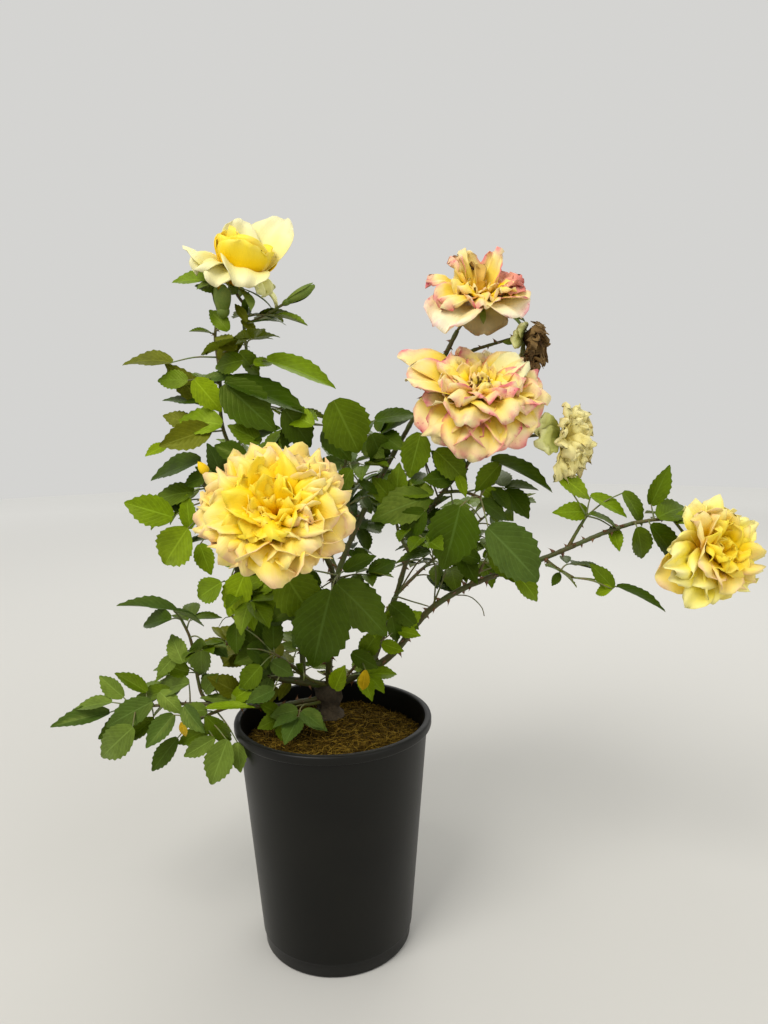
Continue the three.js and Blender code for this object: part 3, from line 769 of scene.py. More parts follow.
LEAF_FINISHES = {
    DEEP: LeafFinish("leaf_deep", (0.032, 0.066, 0.001), (0.1, 0.13, 0.006)),
    MID: LeafFinish("leaf_mid", (0.082, 0.135, 0.002), (0.15, 0.19, 0.01)),
    FRESH: LeafFinish("leaf_fresh", (0.15, 0.235, 0.002), (0.22, 0.28, 0.012)),
    LIME: LeafFinish("leaf_lime", (0.2, 0.29, 0.003), (0.28, 0.34, 0.02)),
    OLIVE: LeafFinish("leaf_olive", (0.11, 0.12, 0.004), (0.17, 0.18, 0.02)),
    SAGE: LeafFinish("leaf_sage", (0.115, 0.175, 0.022), (0.17, 0.22, 0.045)),
    BLUE: LeafFinish("leaf_blue", (0.055, 0.1, 0.014), (0.12, 0.17, 0.04)),
    GOLD: LeafFinish("leaf_gold", (0.6, 0.4, 0.01), (0.55, 0.4, 0.05)),
}

POT_FINISH = Finish(
    "black_plastic", (0.003, 0.0029, 0.002), (0.0072, 0.007, 0.0046),
    Drift(14.0, 900.0, 0.5), 0.36, Grain(12.0, 900.0, 0.12, 0.12, 0.3), gloss=0.2,
)
COMPOST_FINISH = Finish(
    "compost_soil", (0.014, 0.007, 0.0004), (0.045, 0.028, 0.001),
    Drift(120.0, 900.0, 0.9), 0.9, Grain(160.0, 900.0, 0.6, 0.9, 2.0), gloss=0.1,
)
CHIP_FINISH = Finish(
    "compost_chips", (0.085, 0.052, 0.003), (0.03, 0.014, 0.0008), Drift(160.0, 900.0, 1.0), 0.85, gloss=0.1
)
STRAW_FINISH = Finish(
    "compost_straw", (0.3, 0.19, 0.02), (0.1, 0.05, 0.003), Drift(120.0, 700.0, 0.9), 0.8, gloss=0.15
)
BARK_FINISH = Finish(
    "cane_bark", (0.056, 0.078, 0.009), (0.07, 0.045, 0.013),
    Drift(70.0, 420.0, 0.8), 0.5, Grain(90.0, 520.0, 0.5, 0.5, 0.6),
)
CROWN_FINISH = Finish(
    "crown_bark", (0.035, 0.026, 0.013), (0.085, 0.06, 0.034),
    Drift(70.0, 420.0, 0.8), 0.85, Grain(120.0, 620.0, 0.7, 0.9, 1.6),
)
TWIG_FINISH = Finish(
    "green_twig", (0.075, 0.11, 0.012), (0.11, 0.055, 0.018),
    Drift(40.0, 500.0, 0.9), 0.5, Grain(90.0, 520.0, 0.4, 0.3, 0.3),
)
SEPAL_FINISH = Finish(
    "sepal", (0.085, 0.14, 0.008), (0.15, 0.19, 0.02),
    Drift(120.0, 700.0, 0.8), 0.55, Grain(160.0, 800.0, 0.4, 0.3, 0.3),
)
RIB_FINISH = Finish(
    "leaf_rib", (0.13, 0.19, 0.05), (0.18, 0.12, 0.05), Drift(90.0, 600.0, 0.8), 0.5, Grain(150.0, 700.0)
)
THORN_FINISH = Finish("thorn", (0.11, 0.04, 0.018), (0.2, 0.1, 0.035), Drift(200.0, 900.0, 0.8), 0.45)
STAMEN_FINISH = Finish("stamen", (0.32, 0.16, 0.04), (0.1, 0.05, 0.02), Drift(300.0, 900.0, 0.9), 0.7)

YELLOW_PETAL = PetalFinish(
    "yellow_petal", (0.86, 0.42, 0.001), (0.88, 0.62, 0.004), (0.9, 0.75, 0.28), (0.86, 0.5, 0.3), 0.7,
)
BRIGHT_PETAL = PetalFinish(
    "bright_yellow_petal", (0.82, 0.36, 0.001), (0.88, 0.6, 0.001), (0.89, 0.72, 0.06), (0.86, 0.58, 0.2),
    0.35,
)
CREAM_PETAL = PetalFinish(
    "cream_petal", (0.74, 0.6, 0.05), (0.78, 0.71, 0.26), (0.8, 0.76, 0.47), (0.62, 0.5, 0.16), 0.3,
)
LEMON_PETAL = PetalFinish(
    "lemon_petal", (0.88, 0.54, 0.002), (0.93, 0.78, 0.06), (0.93, 0.85, 0.34), (0.88, 0.66, 0.3), 0.35,
)
BLUSH_PETAL = PetalFinish(
    "blush_petal", (0.86, 0.5, 0.006), (0.85, 0.64, 0.08), (0.86, 0.72, 0.42), (0.76, 0.17, 0.2), 0.95, 1.0,
)
PEARL_PETAL = PetalFinish(
    "pearl_petal", (0.82, 0.56, 0.08), (0.84, 0.71, 0.34), (0.86, 0.77, 0.6), (0.7, 0.24, 0.3), 0.8, 1.0,
)
PINK_PETAL = PetalFinish(
    "pink_crumpled_petal", (0.8, 0.5, 0.12), (0.76, 0.36, 0.2), (0.72, 0.22, 0.2), (0.42, 0.12, 0.06), 0.9,
    1.0,
)
# Dark tan colours that are painted shade: they darken a petal that hangs in shadow at the foot of a bloom,
# seen from its back.
PAINTED_SHADE_PETAL = PetalFinish(
    "faded_petal", (0.42, 0.34, 0.1), (0.36, 0.29, 0.13), (0.4, 0.31, 0.16), (0.2, 0.1, 0.05), 0.7, 0.6,
    0.7,
)
PALE_PETAL = PetalFinish(
    "pale_green_petal", (0.34, 0.4, 0.06), (0.66, 0.67, 0.2), (0.82, 0.8, 0.4), (0.36, 0.32, 0.06), 0.6,
    0.0, 0.6,
)
TAN_PETAL = PetalFinish(
    "withered_petal", (0.58, 0.46, 0.08), (0.8, 0.7, 0.27), (0.82, 0.74, 0.36), (0.42, 0.27, 0.06), 0.75,
    0.0, 0.7,
)
BROWNED_PETAL = PetalFinish(
    "browned_petal", (0.8, 0.5, 0.02), (0.72, 0.45, 0.1), (0.16, 0.08, 0.025), (0.1, 0.05, 0.02), 0.9, 0.0,
    0.75,
)
BROWN_PETAL = PetalFinish(
    "dead_petal", (0.06, 0.03, 0.01), (0.12, 0.06, 0.02), (0.26, 0.16, 0.05), (0.03, 0.015, 0.006), 0.8,
    0.0, 0.85,
)


# Copies set on points


# A copy's place, the way it runs, the way it faces, its size in mm (or its length, width and height) and
# its shape's number.
Copy = tuple[Array, Array, Array, float | tuple[float, float, float], int]


class PlacedCopies:
    """A Geometry Nodes tree that sets one of several shapes on each point, turned and sized as it says."""

    def __init__(self, name: str, shapes: Sequence[Thing]) -> None:
        """Builds the tree.

        Args:
            name: the tree's name.
            shapes: the shapes to copy, each a metre long along +X and facing +Z.
        """
        self.tree = bpy.data.node_groups.new(name, "GeometryNodeTree")
        for title, kind in (("Geometry", "Geometry"), ("Finish", "Material"), ("Growth", "Float")):
            self.tree.interface.new_socket(title, in_out="INPUT", socket_type=f"NodeSocket{kind}")
        self.tree.interface.new_socket("Geometry", in_out="OUTPUT", socket_type="NodeSocketGeometry")
        nodes = Nodes(self.tree)
        given = nodes.add("NodeGroupInput").outputs
        gathered = nodes.add("GeometryNodeGeometryToInstance")
        # The shapes are linked last to first, because the node reads its links the other way round.
        for shape in reversed(shapes):
            info = nodes.add("GeometryNodeObjectInfo", inputs={"Object": shape})
            self.tree.links.new(info.outputs["Geometry"], gathered.inputs[0])
        reader = "GeometryNodeInputNamedAttribute"
        turn, size, kind = (
            nodes.add(reader, data_type=data_type, inputs={"Name": title}).outputs[0]
            for title, data_type in (("turn", "FLOAT_VECTOR"), ("size", "FLOAT_VECTOR"), ("kind", "INT"))
        )
        rotation = nodes.add("FunctionNodeEulerToRotation", inputs={0: turn}).outputs[0]
        growth = {0: size, "Scale": given["Growth"]}
        grown = nodes.add("ShaderNodeVectorMath", operation="SCALE", inputs=growth).outputs[0]
        places = {"Points": given["Geometry"], "Rotation": rotation, "Scale": grown}
        picks = {"Instance": gathered.outputs[0], "Pick Instance": True, "Instance Index": kind}
        copies = nodes.add("GeometryNodeInstanceOnPoints", inputs={**places, **picks})
        real = nodes.add("GeometryNodeRealizeInstances", inputs={0: copies.outputs[0]}).outputs[0]
        dressed = nodes.add("GeometryNodeSetMaterial", inputs={"Geometry": real, "Material": given["Finish"]})
        nodes.add("NodeGroupOutput", inputs={0: dressed.outputs[0]})

    def scatter(self, name: str, rows: Sequence[Copy], finish: Material) -> Thing:
        """Sets the copies and turns them into a plain mesh.

        Args:
            name: the new object's name.
            rows: the copies.
            finish: the material.

        Returns:
            The object.
        """
        mesh = bpy.data.meshes.new(f"{name}_points")
        mesh.from_pydata([place * MM for place, *_ in rows], [], [])
        turns = np.array([euler_of(along, face) for _, along, face, _, _ in rows])
        mesh.attributes.new("turn", "FLOAT_VECTOR", "POINT").data.foreach_set("vector", turns.ravel())
        sizes = np.array([np.broadcast_to(row[3], 3) for row in rows]) * MM
        mesh.attributes.new("size", "FLOAT_VECTOR", "POINT").data.foreach_set("vector", sizes.ravel())
        mesh.attributes.new("kind", "INT", "POINT").data.foreach_set("value", [row[4] for row in rows])
        host = shown(bpy.data.objects.new(f"{name}_points", mesh))
        return baked(host, self.tree, {"Finish": finish, "Growth": 1.0}, name)


def baked(host: Thing, tree: Tree, values: dict[str, object], name: str) -> Thing:
    """Runs a Geometry Nodes tree on an object and keeps the result as a plain mesh.

    Args:
        host: the object it runs on, which is removed afterwards.
        tree: the tree.
        values: the tree's named inputs.
        name: the new object's name.

    Returns:
        The new object, linked to the scene.
    """
    modifier = host.modifiers.new("grow", "NODES")
    modifier.node_group = tree
    for item in tree.interface.items_tree:
        if item.item_type == "SOCKET" and item.in_out == "INPUT" and item.name in values:
            modifier[item.identifier] = values[item.name]
    evaluated = host.evaluated_get(bpy.context.evaluated_depsgraph_get())
    mesh = bpy.data.meshes.new_from_object(evaluated)
    host.modifiers.remove(modifier)
    bpy.data.objects.remove(host)
    mesh.name = name
    return shown(bpy.data.objects.new(name, mesh))


def stand_for(made: Thing, slot: str, *nodes: str) -> None:
    """Hangs a finished piece on the root body, hides the CAD nodes it replaces, and reports its faces.

    Args:
        made: the piece.
        slot: the record's material slot; it is not used.
        nodes: the CAD nodes it replaces, if any.
    """
    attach(made, "root")
    if nodes:
        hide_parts(*nodes)
    log.info("%s: %d faces", made.name, len(made.data.polygons))


# Pot and compost


@dataclass
class NurseryPot:
    """The tapered pot with its proud rim, its foot band and its open top."""

    height: float = 236.0
    foot_radius: float = 75.5
    rim_radius: float = 100.0
    rim_proud: float = 4.5
    rim_drop: float = 9.0
    foot_band: float = 15.0
    wall: float = 2.2
    floor: float = 3.0
    sides: int = 144
    crisp_angle: float = 50.0

    def wall_radius(self, height: float) -> float:
        """The outside of the plain wall at a height, in mm."""
        return self.foot_radius + (self.rim_radius - self.rim_proud - self.foot_radius) * height / self.height

    def profile(self) -> list[tuple[float, float]]:
        """The half section, from the middle of the underside round to the middle of the floor.

        Returns:
            Radius and height pairs in mm.
        """
        top, drop, rim, band = self.height, self.rim_drop, self.rim_radius, self.foot_band
        inner = self.wall_radius(top) - self.wall
        outside = [
            (0.0, 0.0),
            (self.foot_radius - 3.0, 0.0),
            (self.foot_radius - 1.0, 0.4),
            (self.foot_radius, 1.8),
            (self.wall_radius(band) - 0.2, band - 0.6),
            (self.wall_radius(band) + 0.9, band + 0.3),
            (self.wall_radius(band) + 1.0, band + 1.4),
        ]
        for share in np.linspace(0.12, 0.96, 12):
            height = band + (top - drop - band) * share
            outside.append((self.wall_radius(height) + 0.9, height))
        lip = [
            (self.wall_radius(top - drop) + 1.0, top - drop - 0.3),
            (rim - 1.6, top - drop + 0.1),
            (rim - 0.3, top - drop + 0.9),
            (rim, top - drop + 2.2),
            (rim, top - 2.2),
            (rim - 0.5, top - 0.7),
            (rim - 1.8, top),
            (inner + 1.2, top),
            (inner + 0.3, top - 0.6),
            (inner, top - 2.0),
        ]
        heights = np.linspace(top - 12.0, self.floor, 10)
        inside = [(self.wall_radius(height) - self.wall, height) for height in heights]
        return [*outside, *lip, *inside, (0.0, self.floor)]

    def build(self, effects: Effects) -> None:
        """Makes the pot and puts it in place of the CAD pot.

        Args:
            effects: the shared shader groups.
        """
        profile = self.profile()
        rings = [circle(radius, self.sides, height) for radius, height in profile[1:-1]]
        ends = [np.array((0.0, 0.0, profile[end][1])) for end in (0, -1)]
        made = Shell().add(*capped(rings, *ends)).build("pot", POT_FINISH.material(effects))
        made.modifiers.new("crisp", "EDGE_SPLIT").split_angle = math.radians(self.crisp_angle)
        stand_for(made, "pot", "nursery_pot")


@dataclass(frozen=True)
class Litter:
    """One kind of loose bits on the compost: how many, how long in mm, of which shapes, and their finish."""

    name: str
    count: int
    sizes: tuple[float, float]
    shapes: tuple[int, ...]
    finish: Finish


@dataclass(frozen=True)
class Crumb:
    """The shape of a rough crumb, a metre long before it is scaled."""

    name: str
    wide: float
    high: float
    seed: int
    sides: int = 6
    swells: tuple[tuple[float, float], ...] = ((-0.5, 0.25), (-0.2, 0.9), (0.2, 1.0), (0.5, 0.3))
    knock: float = 0.16
    scatter: float = 0.03

    def build(self) -> Thing:
        """Makes the pattern object, knocked about by its seed.

        Returns:
            The object, out of the scene.
        """
        rng = np.random.default_rng(self.seed)
        rings = []
        for along, swell in self.swells:
            ring = oval(along, 0.5 * self.wide * swell, 0.5 * self.high * swell, self.sides)
            knocked = ring * (1 + self.knock * rng.normal(size=(self.sides, 1)))
            shift = self.scatter * rng.normal(size=(self.sides, 3)) * (self.wide, self.wide, self.high)
            rings.append(knocked + shift)
        return spindle(self.name, rings)


CRUMBS = (Crumb("crumb", 0.8, 0.7, 1), Crumb("chip", 0.5, 0.16, 2), Crumb("fibre", 0.042, 0.038, 3))

LITTERS = (
    Litter("compost_crumbs", 3600, (1.1, 3.8), (0,), CHIP_FINISH),
    Litter("compost_chips", 700, (3.0, 8.0), (1, 2), CHIP_FINISH),
    Litter("compost_straw", 2400, (4.0, 18.0), (2,), STRAW_FINISH),
)


@dataclass
class Compost:
    """The compost that fills the pot: an uneven top strewn with crumbs, chips and straw."""

    pot: NurseryPot
    top: float = 212.0
    crown: float = 6.0
    clear: float = 0.5
    rings: int = 34
    sides: int = 96
    litter_seed: int = 11

    def reach(self, height: float) -> float:
        """How far out the compost goes at a height, in mm."""
        return self.pot.wall_radius(height) - self.pot.wall - self.clear

    def surface_height(self, place: Array) -> Array:
        """The height of the top at points whose first two columns are across and deep.

        Args:
            place: N points in mm.

        Returns:
            N heights in mm.
        """
        flat = np.column_stack([place[:, 0], place[:, 1], np.zeros(len(place))])
        share = np.clip(np.hypot(place[:, 0], place[:, 1]) / self.pot.wall_radius(self.top), 0, 1)
        mound = self.crown * (1 - share**2) + 2.2 * ripple(flat, 60, 3) + 1.3 * ripple(flat, 22, 4)
        return self.top + mound + 0.7 * ripple(flat, 8, 5)

    def build(self, effects: Effects) -> None:
        """Makes the compost and what lies on it.

        Args:
            effects: the shared shader groups.
        """
        low = self.pot.floor + 0.3
        side = ((0.35, low), (1.0, low), (1.0, self.top - 4))
        rows = [circle(self.reach(height) * share, self.sides, height) for share, height in side]
        for share in np.linspace(1.0, 0.02, self.rings):
            row = circle(self.reach(self.top) * share, self.sides)
            row[:, 2] = self.surface_height(row)
            rows.append(row)
        ends = [np.array((0.0, 0.0, height)) for height in (low, rows[-1][:, 2].mean())]
        made = Shell().add(*capped(rows, *ends)).build("compost_top", COMPOST_FINISH.material(effects))
        stand_for(made, "compost", "compost")
        copies = PlacedCopies("Strewn compost", [crumb.build() for crumb in CRUMBS])
        rng = np.random.default_rng(self.litter_seed)
        for litter in LITTERS:
            rows = [self.strewn(litter, rng) for _ in range(litter.count)]
            stand_for(copies.scatter(litter.name, rows, litter.finish.material(effects)), "compost")

    def strewn(self, litter: Litter, rng: Random) -> Copy:
        """One loose bit, lying on the top and clear of the pot's wall.

        Args:
            litter: what kind it is.
            rng: the random numbers of all the loose bits.

        Returns:
            The copy.
        """
        reach = self.reach(self.top)
        away = reach * 0.97 * math.sqrt(rng.uniform())
        turn = rng.uniform(0, 2 * math.pi)
        place = np.array([[away * math.cos(turn), away * math.sin(turn), 0.0]])
        place[0, 2] = self.surface_height(place)[0] + rng.uniform(-0.4, 0.9)
        lie = rng.uniform(0, 2 * math.pi)
        along = np.array((math.cos(lie), math.sin(lie), rng.normal(0, 0.18)))
        size = rng.uniform(*litter.sizes)
        place[0, :2] *= 1 - max(0.0, 0.6 * size - (reach - away)) / max(away, 1.0)
        face = unit(UP + 0.5 * rng.normal(size=3))
        return place[0], unit(along), face, size, int(rng.choice(litter.shapes))


# Limbs


@dataclass(frozen=True)
class Limb:
    """A limb that springs from another at a share of its length and goes by way of some spots."""

    name: str
    parent: str
    share: float
    via: tuple[Spot, ...]
    thick: tuple[float, float]

    def radius(self, share: float) -> float:
        """The radius at a share of the length, in mm, which tapers evenly."""
        thick, thin = self.thick
        return thick + (thin - thick) * share


@dataclass(frozen=True)
class Cane(Limb):
    """A thorny cane, swollen at its nodes."""

    thorn: float = 5.0
    node_gap: float = 34.0
    node_swell: float = 0.35
    thorn_gap: float = 6.5
    rough: float = 0.22
    sides: int = 14
    stretch: float = 2.2

    def build(self, garden: "Garden", number: int) -> None:
        """Makes the cane with its bark's relief, and sets its thorns.

        Args:
            garden: what lays the limbs and gathers the thorns.
            number: which cane this is, for its relief and its thorns.
        """
        course = garden.lay(self)
        nodes = course.length / self.node_gap

        def radius(share: float) -> float:
            """The radius at a share of the length, with the swelling of the nodes."""
            ring = max(0.0, math.cos(2 * math.pi * nodes * share)) ** 12
            return self.radius(share) + self.node_swell * ring

        steps = max(8, int(course.length / self.stretch))
        skin = tube(course, radius, self.sides, steps, self.rough, garden.bark_seed + number)
        made = Shell().add(*skin).build(f"{self.name}_bark", garden.material(BARK_FINISH))
        stand_for(made, "bark", self.name)
        garden.prick(course, radius, self.thorn_gap, self.thorn, garden.thorn_seed + number)


@dataclass(frozen=True)
class Leaf:
    """A leaf that leaves its stem at a share of its length, and is aimed at the spot where its tip shows."""

    share: float
    across: float
    up: float
    toward: float
    leaflets: int
    size: float
    face: float


@dataclass(frozen=True)
class Blade:
    """A leaflet on a stalk of its own, placed by where both its ends show."""

    foot_across: float
    foot_up: float
    tip_across: float
    tip_up: float
    toward: float
    face: float
    tone: Tone
    width: float = 1.0


@dataclass(frozen=True)
class Shoot:
    """A leafy shoot: its stem, the room it keeps to, its leaves and the tones that its sprays take."""

    name: str
    parent: str
    share: float
    via: tuple[Spot, ...]
    room: tuple[tuple[float, float], tuple[float, float], tuple[float, float]]
    tones: tuple[Tone, ...]
    fill: int = 0
    leaves: tuple[Leaf, ...] = ()
    blades: tuple[Blade, ...] = ()
    thorn: float = 3.4
    thorn_gap: float = 15.0
    rough: float = 0.15
    sides: int = 10
    stretch: float = 3.0

    def radius(self, share: float) -> float:
        """The stem's radius at a share of its length, in mm."""
        return 2.0 - 0.6 * share

    def build(self, garden: "Garden", number: int) -> None:
        """Makes the stem and its thorns.

        Args:
            garden: what lays the limbs and gathers the stems and thorns.
            number: which shoot this is, for its relief and its thorns.
        """
        course = garden.lay(self)
        steps = int(course.length / self.stretch)
        garden.stems.add(*tube(course, self.radius, self.sides, steps, self.rough, number))
        garden.prick(course, self.radius, self.thorn_gap, self.thorn, garden.shoot_thorn_seed + number)


@dataclass
class Crown:
    """The short trunk: flared at the compost and swollen at the knuckle that the canes spring from."""

    at: tuple[float, float] = (-8.0, 41.0)
    lean: tuple[float, float] = (1.0, 0.0)
    bends: tuple[tuple[float, float], ...] = ((0.0, 0.0), (0.15, 0.0), (0.6, 0.5), (1.0, 1.0))
    ground: float = 218.3
    top: float = 253.0
    foot: float = 18.0
    waist: float = 11.0
    knuckle: float = 15.0

    def course(self) -> Course:
        """The trunk's middle, from the compost up.

        Returns:
            The course.
        """
        points = []
        for high, bend in self.bends:
            across, deep = (start + bend * lean for start, lean in zip(self.at, self.lean))
            points.append(np.array((across, deep, self.ground + (self.top - self.ground) * high)))
        return Course(points)

    def radius(self, share: float) -> float:
        """The trunk's radius, with its flare, its knuckle and its rounded top.

        Args:
            share: how far up it is.

        Returns:
            The radius in mm.
        """
        flare = (self.foot - self.waist) * max(0.0, 1 - share / 0.4) ** 2
        swell = (self.knuckle - self.waist) * math.sin(math.pi * min(1.0, max(0.0, (share - 0.3) / 0.95)))
        round_off = 1 - 0.35 * max(0.0, (share - 0.86) / 0.14) ** 2
        return (self.waist + flare + swell) * round_off

    def build(self, effects: Effects) -> None:
        """Makes the trunk with the relief of its bark.

        Args:
            effects: the shared shader groups.
        """
        points, faces = tube(self.course(), self.radius, sides=40, steps=34)
        out = points - np.array((*self.at, 0.0))
        out[:, 2] = 0
        out /= np.maximum(np.linalg.norm(out, axis=1, keepdims=True), 1e-6)
        drop = 1.1 * ripple(points, 14, 21) + 0.6 * ripple(points * (1, 1, 0.3), 6, 22)
        made = Shell().add(points + out * drop[:, None], faces).build("crown", CROWN_FINISH.material(effects))
        stand_for(made, "bark", "trunk")


# The canes, shoots, leaves and twigs, as places


CANES = (
    Cane(
        "cane_left", "trunk", 0.95,
        ((-34, 271, -26), (-62, 278, -13), (-83, 294, -5), (-87, 325, -2), (-93, 420, -4), (-92, 503, -8)),
        (4.2, 2.4),
    ),
    Cane(
        "cane_low_left", "trunk", 0.59, ((-30, 250, -26), (-56, 246, -10), (-80, 245, 0), (-104, 246, 6)),
        (2.8, 2),
    ),
    Cane(
        "cane_front", "trunk", 0.85,
        ((-3, 300, -22), (0, 336, -4), (4, 368, 12), (0, 392, 32), (-16, 414, 58), (-33, 427, 74)),
        (3.4, 2.4), thorn=6.4,
    ),
    Cane(
        "cane_back", "trunk", 0.77,
        ((-2, 300, -56), (5, 370, -64), (26, 425, -66), (56, 484, -60), (87, 538, -46), (128, 617, -24)),
        (3.6, 2.1),
    ),
    Cane(
        "cane_right", "trunk", 0.81,
        (
            (24, 276, -41), (58, 295, -38), (99, 343, -30), (138, 367, -18), (213, 394, 2), (276, 420, 18),
            (301, 428, 24),
        ),
        (4, 2), thorn=6.4,
    ),
    Cane(
        "cane_centre", "cane_right", 0.14,
        ((47, 304, -44), (63, 350, -46), (85, 415, -34), (112, 460, -18), (138, 490, -6), (149, 508, 2)),
        (3, 1.9),
    ),
    Cane(
        "cane_spent_bloom", "cane_back", 0.92, ((131, 594, -30), (152, 601, -28), (186, 610, -24)),
        (1.9, 1.5),
    ),
    Cane("stub_inner", "cane_left", 0.1, ((-30, 300, -26), (-38, 338, -20)), (3.2, 2.6)),
    Cane("stub_outer", "cane_left", 0.32, ((-95, 304, 0), (-105, 315, 4)), (2.8, 2.4)),
)

